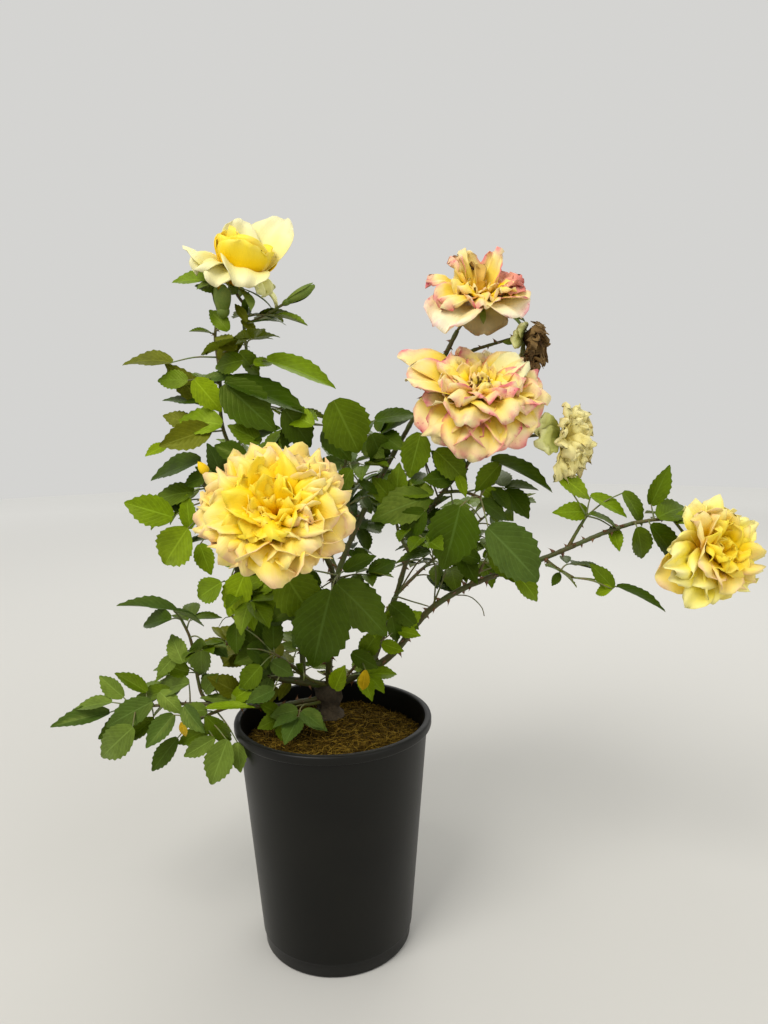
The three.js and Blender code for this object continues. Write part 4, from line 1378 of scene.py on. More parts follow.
SHOOTS = (
    Shoot(
        "foliage_left_outer", "cane_left", 1,
        via=((-101, 532, -9), (-101, 580, -10), (-104, 615, -10), (-100, 636, -10)),
        room=((-195, -60), (500, 672), (-60, 60)), tones=(MID, DEEP, MID, FRESH), fill=1,
        blades=(
            Blade(-146, 591, -194, 603, 4, 45, OLIVE, 0.8), Blade(-132, 574, -164, 577, 10, 55, MID, 0.9),
            Blade(-120, 552, -150, 593, 2, 60, OLIVE, 0.7), Blade(-120, 552, -157, 563, 4, 34, DEEP, 0.8),
            Blade(-126, 575, -101, 544, 16, 70, LIME, 0.95), Blade(-118, 572, -84, 577, 2, 40, BLUE, 0.9),
            Blade(-108, 618, -128, 622, 6, 30, MID, 0.75), Blade(-109, 667, -145, 671, 8, 40, FRESH, 0.85),
            Blade(-94, 657, -122, 668, 12, 50, MID, 0.8), Blade(-91, 620, -109, 643, 10, 60, MID, 0.85),
            Blade(-84, 602, -105, 616, 12, 60, OLIVE, 0.9),
            Blade(-101, 531, -149, 541, 18, 62, FRESH, 0.95),
            Blade(-112, 527, -163, 512, 26, 72, OLIVE, 0.95),
            Blade(-128, 531, -158, 543, 6, 60, OLIVE, 0.9), Blade(-156, 512, -177, 504, 22, 50, LIME, 0.9),
            Blade(-101, 592, -77, 612, 2, 60, OLIVE), Blade(-78, 592, -109, 588, 10, 60, MID),
        ),
    ),
    Shoot(
        "foliage_left_inner", "cane_left", 1,
        via=((-67, 542, -4), (-72, 580, -8), (-76, 620, -10), (-76, 646, -10)),
        room=((-125, 15), (500, 640), (-70, 60)), tones=(DEEP, MID, DEEP, FRESH), fill=1,
        leaves=(Leaf(0.12, -47, 530, 24, 3, 46, 50),),
        blades=(
            Blade(-56, 592, 14, 572, 4, 42, FRESH, 0.72), Blade(-68, 627, -41, 634, 6, 12, DEEP, 0.5),
            Blade(-46, 633, -15, 627, 8, 24, MID, 0.55), Blade(-73, 628, -84, 646, 6, 55, OLIVE, 0.7),
            Blade(-75, 630, -71, 656, 2, 60, DEEP, 0.5), Blade(-78, 630, -64, 621, 4, 50, OLIVE, 0.8),
            Blade(-97, 572, -14, 549, 14, 50, DEEP, 0.7), Blade(-97, 570, -51, 527, 22, 70, DEEP, 1.05),
            Blade(-68, 588, -48, 594, 10, 60, FRESH, 0.9), Blade(-64, 513, -94, 533, 20, 55, MID, 0.9),
            Blade(-78, 498, -110, 512, 24, 60, DEEP), Blade(-40, 545, -12, 507, 6, 70, DEEP),
            Blade(-82, 600, -60, 577, 0, 60, MID),
        ),
    ),
    Shoot(
        "foliage_left_middle", "cane_left", 0.76, via=((-110, 448, 2), (-120, 470, 2), (-122, 490, 0)),
        room=((-198, -70), (390, 560), (-70, 50)), tones=(FRESH, LIME, MID), fill=1,
        blades=(
            Blade(-123, 496, -178, 484, 12, 40, DEEP, 0.8), Blade(-118, 481, -142, 474, 18, 70, DEEP, 1.1),
            Blade(-153, 441, -201, 457, 26, 78, FRESH, 1.05), Blade(-131, 466, -177, 463, 8, 50, MID, 0.85),
            Blade(-137, 429, -140, 464, 18, 75, FRESH, 0.8), Blade(-139, 430, -168, 391, 26, 82, LIME),
            Blade(-128, 414, -120, 384, 20, 75, FRESH, 0.95), Blade(-158, 462, -140, 446, 4, 50, DEEP),
        ),
    ),
    Shoot(
        "foliage_left_lower", "cane_left", 0.5, via=((-98, 362, 10), (-102, 374, 20)),
        room=((-140, 10), (325, 440), (-40, 70)), tones=(FRESH, MID), fill=1,
        leaves=(Leaf(0.9, -50, 343, 46, 5, 36, 70),),
        blades=(
            Blade(-108, 375, -136, 358, 34, 60, FRESH, 0.9), Blade(-84, 384, -106, 339, 42, 74, LIME, 0.95),
            Blade(-76, 362, -58, 338, 28, 60, BLUE), Blade(-64, 352, -44, 326, 20, 60, DEEP),
        ),
    ),
    Shoot(
        "foliage_front", "cane_front", 0.55, via=((10, 374, 24), (8, 380, 42)),
        room=((-70, 100), (270, 410), (-30, 110)), tones=(DEEP, MID),
        leaves=(Leaf(0.8, -62, 338, 66, 3, 56, 65),),
        blades=(
            Blade(1, 365, -25, 274, 84, 76, DEEP, 0.98), Blade(6, 372, 60, 321, 64, 62, DEEP, 0.95),
            Blade(-46, 384, -17, 334, 66, 70, MID, 1.2), Blade(14, 384, 46, 402, 36, 50, DEEP, 0.85),
            Blade(40, 380, 66, 398, 30, 50, DEEP), Blade(-20, 330, -44, 306, 30, 60, BLUE),
        ),
    ),
    Shoot(
        "foliage_low_left_far", "cane_low_left", 1, via=((-138, 249, 10), (-175, 248, 14), (-205, 245, 18)),
        room=((-295, -100), (180, 290), (-60, 70)), tones=(SAGE, MID, BLUE),
        leaves=(Leaf(0.5, -176, 258, -30, 3, 30, 50),),
        blades=(
            Blade(-213, 257, -237, 280, 12, 60, SAGE, 0.95), Blade(-189, 262, -220, 284, 8, 40, MID, 0.75),
            Blade(-225, 252, -266, 249, 20, 35, SAGE, 0.75), Blade(-228, 241, -291, 230, 22, 35, BLUE, 0.5),
            Blade(-184, 252, -235, 227, 26, 60, BLUE, 0.8), Blade(-199, 237, -244, 214, 18, 62, DEEP, 0.75),
            Blade(-205, 225, -248, 188, 34, 70, SAGE, 0.8), Blade(-183, 234, -215, 209, 12, 60, MID, 0.8),
            Blade(-145, 271, -186, 264, 6, 40, SAGE, 0.7), Blade(-176, 262, -158, 243, 22, 60, SAGE, 0.9),
            Blade(-165, 264, -209, 254, 2, 45, MID, 0.6),
        ),
    ),
    Shoot(
        "foliage_low_left_near", "cane_low_left", 1, via=((-125, 238, 24), (-140, 231, 36)),
        room=((-200, -80), (160, 260), (-20, 100)), tones=(SAGE, FRESH, BLUE),
        leaves=(Leaf(0.5, -150, 246, 44, 3, 26, 50),),
        blades=(
            Blade(-163, 238, -194, 203, 44, 70, BLUE, 0.95),
            Blade(-160, 213, -192, 175, 36, 70, DEEP, 0.65), Blade(-152, 247, -134, 218, 50, 70, BLUE, 0.9),
            Blade(-109, 210, -130, 159, 58, 78, SAGE, 0.85),
            Blade(-122, 212, -156, 192, 54, 70, SAGE, 0.85), Blade(-99, 207, -98, 175, 48, 76, SAGE, 0.95),
            Blade(-125, 223, -162, 206, 30, 60, MID, 0.75), Blade(-130, 236, -105, 207, 40, 66, MID, 0.85),
            Blade(-96, 259, -124, 277, 10, 45, OLIVE, 0.85), Blade(-119, 263, -134, 282, -6, 60, DEEP, 0.9),
            Blade(-130, 244, -85, 252, 34, 30, FRESH, 0.32), Blade(-89, 248, -135, 261, 14, 35, SAGE, 0.45),
            Blade(-103, 252, -80, 269, 16, 50, FRESH, 0.8), Blade(-155, 230, -153, 211, 46, 72, GOLD, 0.6),
        ),
    ),
    Shoot(
        "foliage_low_left_upright", "cane_low_left", 1,
        via=((-130, 254, 2), (-138, 285, 0), (-142, 317, 0), (-150, 337, 0)),
        room=((-215, -100), (260, 365), (-60, 60)), tones=(MID, SAGE, SAGE), fill=1,
        leaves=(Leaf(0.5, -176, 282, 18, 3, 30, 60), Leaf(0.3, -116, 276, 16, 3, 28, 60)),
        blades=(
            Blade(-155, 346, -212, 359, 6, 20, BLUE, 0.55), Blade(-160, 338, -191, 334, 10, 50, DEEP),
            Blade(-158, 346, -126, 333, 6, 15, BLUE, 0.6), Blade(-151, 292, -163, 324, 16, 75, SAGE, 0.95),
            Blade(-158, 300, -178, 280, 20, 70, SAGE, 0.9), Blade(-131, 318, -134, 276, 12, 75, SAGE, 0.8),
            Blade(-122, 314, -106, 299, 8, 50, BLUE, 0.9),
        ),
    ),
    Shoot(
        "foliage_in_pot", "trunk", 0.5, via=((-20, 247, -22), (-30, 246, -4)),
        room=((-85, 0), (195, 262), (-40, 62)), tones=(BLUE, MID, FRESH),
        leaves=(Leaf(1, -46, 206, 44, 5, 34, 75), Leaf(0.8, -78, 222, 20, 3, 24, 60)),
    ),
    Shoot(
        "foliage_crown_left", "trunk", 0.9, via=((-28, 276, -12), (-44, 290, 0), (-58, 300, 6)),
        room=((-112, 0), (262, 345), (-50, 50)), tones=(DEEP, BLUE, MID), fill=1,
        leaves=(
            Leaf(0.9, -102, 322, 10, 5, 34, 60), Leaf(0.6, -96, 272, 18, 3, 30, 60),
            Leaf(0.5, -24, 284, 20, 3, 34, 60), Leaf(1, -60, 340, 10, 3, 34, 50),
        ),
        blades=(
            Blade(-95, 333, -97, 301, 16, 75, DEEP, 0.9), Blade(-86, 306, -57, 297, 14, 60, DEEP, 1.05),
            Blade(-72, 288, -96, 262, 20, 70, MID, 1.05), Blade(-62, 292, -40, 278, 12, 60, BLUE),
            Blade(-60, 262, -88, 250, 30, 60, BLUE),
        ),
    ),
    Shoot(
        "foliage_crown_right", "trunk", 0.67, via=((14, 275, -18), (28, 292, -8)),
        room=((-10, 96), (258, 350), (-60, 50)), tones=(MID, FRESH, LIME),
        leaves=(Leaf(1, 48, 322, -2, 3, 40, 60), Leaf(1, 90, 343, -12, 5, 28, 50)),
        blades=(
            Blade(2, 262, 12, 286, 18, 70, LIME, 1.1), Blade(34, 282, 30, 259, 18, 70, GOLD, 0.8),
            Blade(20, 300, 46, 284, 6, 60, DEEP), Blade(60, 350, 86, 328, -6, 65, DEEP, 0.9),
            Blade(61, 338, 67, 307, -4, 70, DEEP, 0.75),
        ),
    ),
    Shoot(
        "foliage_centre_top", "cane_back", 0.44, via=((20, 450, -48), (18, 485, -38), (22, 520, -32)),
        room=((-45, 100), (425, 556), (-90, 60)), tones=(DEEP, MID), fill=1,
        leaves=(Leaf(0.8, 86, 540, -20, 5, 40, 40),),
        blades=(
            Blade(8, 553, 33, 500, 16, 72, MID, 1.15), Blade(-12, 529, -46, 547, 4, 55, FRESH, 0.85),
            Blade(-30, 532, -44, 508, 0, 60, DEEP), Blade(48, 533, 90, 545, -14, 25, DEEP, 0.7),
            Blade(-2, 524, 24, 496, -8, 60, DEEP, 1.1), Blade(44, 520, 60, 486, -10, 65, DEEP, 1.1),
            Blade(24, 486, 8, 462, 4, 65, MID), Blade(30, 474, 52, 464, 0, 50, DEEP, 0.9),
        ),
    ),
    Shoot(
        "foliage_centre", "cane_centre", 0.49, via=((70, 420, -20), (66, 440, -8)),
        room=((20, 125), (385, 515), (-60, 60)), tones=(DEEP, MID), fill=1,
        leaves=(Leaf(0.5, 99, 402, 0, 3, 30, 50), Leaf(1, 74, 488, 0, 5, 38, 50)),
        blades=(
            Blade(100, 457, 42, 441, 12, 55, DEEP), Blade(104, 460, 60, 470, 0, 50, MID, 0.8),
            Blade(96, 444, 70, 418, 16, 66, DEEP, 1.1), Blade(92, 520, 80, 478, 4, 65, MID),
            Blade(101, 402, 68, 401, 8, 25, DEEP, 0.7), Blade(84, 470, 98, 486, -6, 50, DEEP),
        ),
    ),
    Shoot(
        "foliage_centre_right", "cane_centre", 0.77, via=((132, 462, -4), (150, 456, 8)),
        room=((95, 262), (350, 520), (-60, 70)), tones=(DEEP, MID),
        leaves=(Leaf(0.5, 104, 504, -6, 5, 34, 40),),
        blades=(
            Blade(130, 448, 116, 387, 42, 80, DEEP, 1.32), Blade(157, 426, 213, 370, 36, 60, BLUE, 0.9),
            Blade(106, 503, 139, 473, 6, 60, MID, 0.95), Blade(160, 492, 225, 467, 10, 35, DEEP, 0.65),
            Blade(170, 489, 144, 462, 14, 60, MID, 0.95), Blade(128, 478, 136, 458, 8, 60, FRESH, 0.8),
            Blade(150, 452, 180, 436, 4, 55, DEEP, 0.9), Blade(150, 466, 172, 452, -6, 50, FRESH, 0.9),
            Blade(129, 403, 147, 372, 0, 65, DEEP, 0.85),
        ),
    ),
    Shoot(
        "foliage_right_lower", "cane_right", 0.53, via=((148, 380, -10), (154, 391, -4)),
        room=((110, 220), (345, 420), (-60, 50)), tones=(DEEP, MID),
        leaves=(Leaf(1, 126, 404, 2, 3, 32, 60),),
        blades=(Blade(160, 408, 186, 371, 12, 65, MID), Blade(184, 380, 213, 351, 16, 62, FRESH, 0.85)),
    ),
    Shoot(
        "foliage_right_middle", "cane_right", 0.82, via=((246, 421, 10), (255, 436, 12)),
        room=((205, 300), (395, 492), (-40, 60)), tones=(MID, FRESH),
        blades=(
            Blade(225, 477, 262, 457, 4, 55, LIME, 0.9), Blade(256, 440, 225, 441, 14, 60, FRESH, 0.8),
            Blade(258, 456, 297, 438, 16, 50, FRESH, 0.85), Blade(290, 459, 318, 430, 18, 55, MID, 0.9),
            Blade(258, 437, 297, 428, 20, 30, MID, 0.75), Blade(280, 425, 289, 401, 18, 65, FRESH, 0.8),
        ),
    ),
    Shoot(
        "foliage_right_low", "cane_right", 0.75, via=((226, 384, 8), (243, 374, 12)),
        room=((205, 340), (335, 396), (-40, 60)), tones=(DEEP, MID),
        leaves=(Leaf(0.6, 222, 366, 14, 3, 28, 50),),
        blades=(
            Blade(215, 386, 251, 378, 12, 20, MID, 0.7), Blade(286, 364, 339, 344, 18, 25, DEEP, 0.65),
            Blade(283, 362, 262, 388, 14, 55, MID, 0.8), Blade(282, 362, 264, 358, 16, 50, LIME, 0.9),
        ),
    ),
    Shoot(
        "foliage_right_end", "cane_right", 1, via=((322, 431, 27), (340, 432, 29)),
        room=((285, 370), (385, 485), (-40, 80)), tones=(MID, FRESH),
        blades=(
            Blade(318, 446, 336, 484, 22, 65, MID, 0.8), Blade(325, 433, 357, 451, 26, 55, MID),
            Blade(305, 424, 314, 390, 30, 70, MID, 0.85), Blade(318, 426, 351, 389, 30, 60, DEEP, 0.7),
            Blade(342, 428, 370, 441, 28, 45, FRESH, 0.75),
        ),
    ),
    Shoot(
        "foliage_back_left", "cane_left", 0.65, via=((-97, 425, -50), (-90, 465, -100), (-70, 500, -140)),
        room=((-165, 10), (345, 560), (-230, -14)), tones=(DEEP, MID, BLUE), fill=6,
    ),
    Shoot(
        "foliage_back_centre", "cane_back", 0.31, via=((2, 405, -104), (12, 440, -145), (34, 480, -180)),
        room=((-70, 96), (330, 545), (-270, -50)), tones=(DEEP, MID, BLUE), fill=6,
    ),
    Shoot(
        "foliage_back_right", "cane_centre", 0.31, via=((92, 385, -86), (125, 412, -124), (158, 440, -150)),
        room=((50, 225), (362, 500), (-240, -50)), tones=(DEEP, MID), fill=5,
    ),
    Shoot(
        "foliage_back_low", "trunk", 0.48, via=((-24, 274, -84), (-50, 296, -120), (-80, 320, -150)),
        room=((-165, 60), (262, 350), (-230, -46)), tones=(DEEP, MID, OLIVE), fill=4,
    ),
)

TWIGS = (
    Limb("twig_low_reddish", "cane_right", 0.24, ((62, 356, -24), (82, 352, -8), (98, 347, 0)), (1.1, 0.7)),
    Limb("twig_upright_near", "cane_right", 0.4, ((112, 372, -18), (119, 394, -10)), (1.0, 0.7)),
    Limb("twig_crossing", "cane_right", 0.41, ((104, 392, -16), (87, 418, -8)), (0.9, 0.7)),
    Limb("twig_upright_far", "cane_right", 0.52, ((148, 379, -10), (153, 389, -4)), (0.9, 0.7)),
    Limb("twig_centre", "cane_centre", 0.3, ((88, 392, -26), (101, 402, -14)), (1.0, 0.7)),
    Limb(
        "twig_hanging", "cane_right", 0.47, ((140, 356, -14), (152, 344, -12), (154, 336, -10)), (0.6, 0.5),
    ),
    Limb("twig_middle", "cane_centre", 0.74, ((94, 498, -8), (102, 466, 4)), (1.0, 0.7)),
    Limb("tendril", "cane_left", 0.56, ((-98, 341, 10), (-107, 338, 16), (-113, 329, 18)), (0.7, 0.4)),
    Limb(
        "second_low_stem", "cane_low_left", 0.6, ((-84, 252, 2), (-112, 250, 4), (-138, 249, 6)),
        (1.8, 1.4),
    ),
)


# Roses


SEPALS = 5
# A petal always turns in a little, in radians, so that the arc across it has a radius.
LEAST_BEND = 0.03


@dataclass(frozen=True)
class Whorl:
    """A ring of like petals.

    Lengths are in mm and angles in degrees. Lean is the angle off the bloom's axis at a petal's foot and
    at its lip, cup is how far each side edge turns inward, and curl is how far the lip turns out again.
    The petals are dealt out from the start over the spread, and a single one stays at the start.
    """

    count: int
    length: float
    lean: tuple[float, float]
    breadth: float = 0.95
    cup: float = 25.0
    curl: float = 15.0
    ruffle: float = 3.0
    crumple: float = 0.0
    finish: int = 0
    start: float = 0.0
    spread: float = 360.0

    def turn(self, number: int, sway: float) -> float:
        """How far round the bloom a petal is, in degrees."""
        return self.start + (self.spread if self.count > 1 else 0.0) * (number + sway) / self.count


@dataclass(frozen=True)
class Petal:
    """One petal of a whorl, laid off its bloom's axis."""

    whorl: Whorl
    turn: float
    seed: int
    foot: float = 2.5
    rows: int = 13
    columns: int = 13
    widest: float = 0.7
    lip: float = 0.66

    @property
    def faces(self) -> list[tuple[int, ...]]:
        """The faces of the petal's grid."""
        return grid_faces(self.rows, self.columns, False)

    def outline(self, share: Array) -> Array:
        """How wide the petal is.

        Args:
            share: shares of its length, from 0 to 1.

        Returns:
            Its width at each, as a share of its breadth.
        """
        rising = 0.22 + 0.78 * np.sin(0.5 * math.pi * np.clip(share / self.widest, 0, 1)) ** 1.1
        falling = np.sqrt(1 - 0.62 * np.clip((share - self.widest) / (1 - self.widest), 0, 1) ** 2.6)
        return np.where(share < self.widest, rising, falling)

    def points(self, hip: Array, axis: Array) -> tuple[Array, Array]:
        """The petal's grid.

        Args:
            hip: where the petals join, in mm.
            axis: the unit way that the bloom opens.

        Returns:
            The points in mm, and their map coordinates.
        """
        rng = np.random.default_rng(self.seed)
        whorl = self.whorl
        length = whorl.length * rng.uniform(0.9, 1.06)

        # Along the middle, the petal leans out from its foot and curls at its lip.
        along = np.linspace(0, 1, self.rows)
        low, high = whorl.lean[0] + rng.normal(0, 3), whorl.lean[1] + rng.normal(0, 6)
        curl = whorl.curl * rng.uniform(0.5, 1.5) * np.clip((along - self.lip) / (1 - self.lip), 0, 1) ** 1.5
        angle = np.radians(low + (high - low) * along**0.9 + curl)
        middle = 0.5 * (angle[1:] + angle[:-1])
        step = length / (self.rows - 1)
        out = self.foot + np.concatenate([[0], np.cumsum(np.sin(middle))]) * step
        rise = np.concatenate([[0], np.cumsum(np.cos(middle))]) * step

        # Across, it is an arc that turns inward by its cup, with a frill that grows toward the lip.
        half = 0.5 * whorl.breadth * length * self.outline(along)
        across = np.linspace(-1, 1, self.columns)
        bend = np.radians(whorl.cup) * rng.uniform(0.7, 1.3) * (1 - 0.35 * along)
        bend = np.where(np.abs(bend) < LEAST_BEND, LEAST_BEND, bend)
        side = (half / bend)[:, None] * np.sin(bend[:, None] * across)
        lift = (half / bend)[:, None] * (1 - np.cos(bend[:, None] * across))
        phase, waves = rng.uniform(0, PHASES, 2), rng.uniform(1.3, 2.4)
        frill = np.sin(waves * math.pi * across + phase[0]) + 0.6 * np.sin(2.7 * waves * across + phase[1])
        lift = lift + whorl.ruffle * (along**1.8)[:, None] * frill
        sag = 0.15 * length * (along**3)[:, None] * (0.6 - across**2)

        radial, tangent = np.sin(angle)[:, None], np.cos(angle)[:, None]
        x = out[:, None] - tangent * lift + radial * sag
        z = rise[:, None] + radial * lift + tangent * sag
        first = square_to(axis, self.turn)
        second = np.cross(axis, first)
        grid = x[..., None] * first + side[..., None] * second + z[..., None] * axis
        points = hip + grid.reshape(-1, 3)
        if whorl.crumple:
            wrinkle = np.stack([ripple(points, 14, self.seed + 7 * k) for k in range(3)], 1)
            creases = np.stack([ripple(points, 6, self.seed + 5 * k + 3) for k in range(3)], 1)
            reach = np.repeat(along, self.columns)[:, None] ** 0.7
            points = points + whorl.crumple * reach * (wrinkle + 0.5 * creases)
        uv = np.stack([np.tile(0.5 + 0.5 * across, self.rows), np.repeat(along, self.columns)], 1)
        return points, uv


def opening(faces: Spot) -> Array:
    """The unit way that a bloom or bud opens, from how far to the right, to the front and up it faces."""
    right, front, up = faces
    return unit(np.array((right, -front, up)))


def egg(centre: Array, axis: Array, radius: float, length: float, sides: int = 16, rings: int = 9) -> Solid:
    """A closed egg along an axis, slimmer toward its tip.

    Args:
        centre: its middle in mm.
        axis: the unit way it points.
        radius: its widest radius.
        length: how long it is.
        sides: how many sides it has.
        rings: how many rings lie between its ends.

    Returns:
        Its points and its faces.
    """
    first = square_to(axis, 0)
    second = np.cross(axis, first)
    turns = np.linspace(0, 2 * math.pi, sides, endpoint=False)[:, None]
    spokes = np.cos(turns) * first + np.sin(turns) * second
    rows = []
    for share in np.linspace(0, 1, rings + 2)[1:-1]:
        wide = radius * math.sin(math.pi * share**0.85) ** 0.8
        rows.append(centre + axis * length * (share - 0.5) + wide * spokes)
    return capped(rows, centre - 0.5 * length * axis, centre + 0.5 * length * axis)


@dataclass(frozen=True)
class Bloom:
    """A rose on its pedicel: whorls of petals, a hip, sepals and, on an old one, stamens."""

    name: str
    parent: str
    share: float
    via: tuple[Spot, ...]
    faces: Spot
    hip: float
    finishes: tuple[PetalFinish, ...]
    seed: int
    whorls: tuple[Whorl, ...]
    slot: str = "yellow_petal"
    sepal: float = 26.0
    sepal_lean: tuple[float, float] = (80.0, 140.0)
    stamens: int = 0
    reach: float = 60.0
    hang: float = 0.0
    thickness: float = 0.45

    @property
    def axis(self) -> Array:
        """The unit way that the bloom opens."""
        return opening(self.faces)

    @property
    def centre(self) -> Array:
        """The hip's middle, in mm."""
        return Sight.spot(self.via[-1])

    def radius(self, share: float) -> float:
        """The pedicel's radius at a share of its length, in mm."""
        return 1.5 + 0.5 * share**4

    def build(self, garden: "Garden") -> None:
        """Makes the petals in one piece, and hands the green parts to the garden.

        Args:
            garden: what gathers the bush's small parts.
        """
        stem = tube(garden.lay(self), self.radius, sides=8, steps=14, rough=0.1, seed=self.seed)
        garden.stems.add(*stem)
        shell = Shell()
        rng = np.random.default_rng(self.seed)
        petals = 0
        for whorl in self.whorls:
            for i in range(whorl.count):
                petal = Petal(whorl, whorl.turn(i, rng.uniform(-0.25, 0.25)), 1000 * self.seed + petals)
                points, uv = petal.points(self.centre, self.axis)
                shell.add(self.drooped(points), petal.faces, uv, whorl.finish)
                petals += 1
        made = shell.build(f"{self.name}_petals", *(garden.material(finish) for finish in self.finishes))
        skin = made.modifiers.new("thickness", "SOLIDIFY")
        skin.thickness = self.thickness * MM
        skin.offset = 0.0
        stand_for(made, self.slot, self.name)
        self.green(garden)
        self.threads(garden, rng)

    def drooped(self, points: Array) -> Array:
        """Lets the petals hang by how far they are from the hip."""
        away = np.linalg.norm(points - self.centre, axis=1)
        return points - UP * (self.hang * (away / self.reach) ** 1.6)[:, None]

    def green(self, garden: "Garden") -> None:
        """Makes the hip and its sepals.

        Args:
            garden: what gathers the bush's small parts.
        """
        middle = self.centre - self.axis * 0.25 * self.hip
        garden.greens.add(*egg(middle, self.axis, self.hip, 2.5 * self.hip))
        shape = {"breadth": 0.26, "cup": 30.0, "curl": 25.0, "ruffle": 0.6, "start": 20.0}
        whorl = Whorl(SEPALS, self.sepal, self.sepal_lean, **shape)
        for i in range(SEPALS):
            seed = 77 * self.seed + i
            petal = Petal(whorl, whorl.turn(i, 0), seed, foot=0.6 * self.hip, rows=9, columns=3)
            points, uv = petal.points(self.centre, self.axis)
            garden.greens.add(points, petal.faces, uv)

    def threads(self, garden: "Garden", rng: Random) -> None:
        """Sets the stamens round the middle.

        Args:
            garden: what gathers the bush's small parts.
            rng: the bloom's random numbers.
        """
        for i in range(self.stamens):
            out = square_to(self.axis, GOLDEN_ANGLE * i)
            along = unit(self.axis + out * rng.uniform(0.15, 0.9))
            foot = self.centre + self.axis * (self.hip + 2) + out * rng.uniform(0.5, 4.5)
            garden.stamens.append((foot, along, out, rng.uniform(11, 17), 0))


@dataclass(frozen=True)
class Bud:
    """A closed bud in its five sepals, with a slit of petal showing."""

    name: str
    parent: str
    share: float
    via: tuple[Spot, ...]
    faces: Spot
    long: float
    wide: float
    sepal: float
    petal: PetalFinish = YELLOW_PETAL

    def radius(self, share: float) -> float:
        """The stalk's radius at a share of its length, in mm."""
        return 1.0 + 0.5 * share**3

    def build(self, garden: "Garden") -> None:
        """Makes the bud's petals, and hands its green parts to the garden.

        Args:
            garden: what gathers the bush's small parts.
        """
        garden.stems.add(*tube(garden.lay(self), self.radius, sides=8, steps=12, rough=0.1, seed=5))
        axis, foot = opening(self.faces), Sight.spot(self.via[-1])
        points, faces = egg(foot + axis * 0.6 * self.long, axis, 0.4 * self.wide, 0.84 * self.long)
        shell = Shell().add(points, faces, np.full((len(points), 2), 0.5))
        stand_for(shell.build(f"{self.name}_petals", garden.material(self.petal)), "leaf", self.name)
        garden.greens.add(*egg(foot + axis * 0.12 * self.long, axis, 0.34 * self.wide, 0.6 * self.long))
        lean = (62 * self.wide / self.long, -14)
        shape = {"breadth": 0.5 / self.sepal, "cup": 50.0, "curl": 0.0, "ruffle": 0.3, "start": 12.0}
        whorl = Whorl(SEPALS, self.sepal * self.long, lean, **shape)
        for i in range(SEPALS):
            petal = Petal(whorl, whorl.turn(i, 0), 300 + i, foot=0.16 * self.wide, rows=10, columns=5)
            points, uv = petal.points(foot, axis)
            garden.greens.add(points, petal.faces, uv)


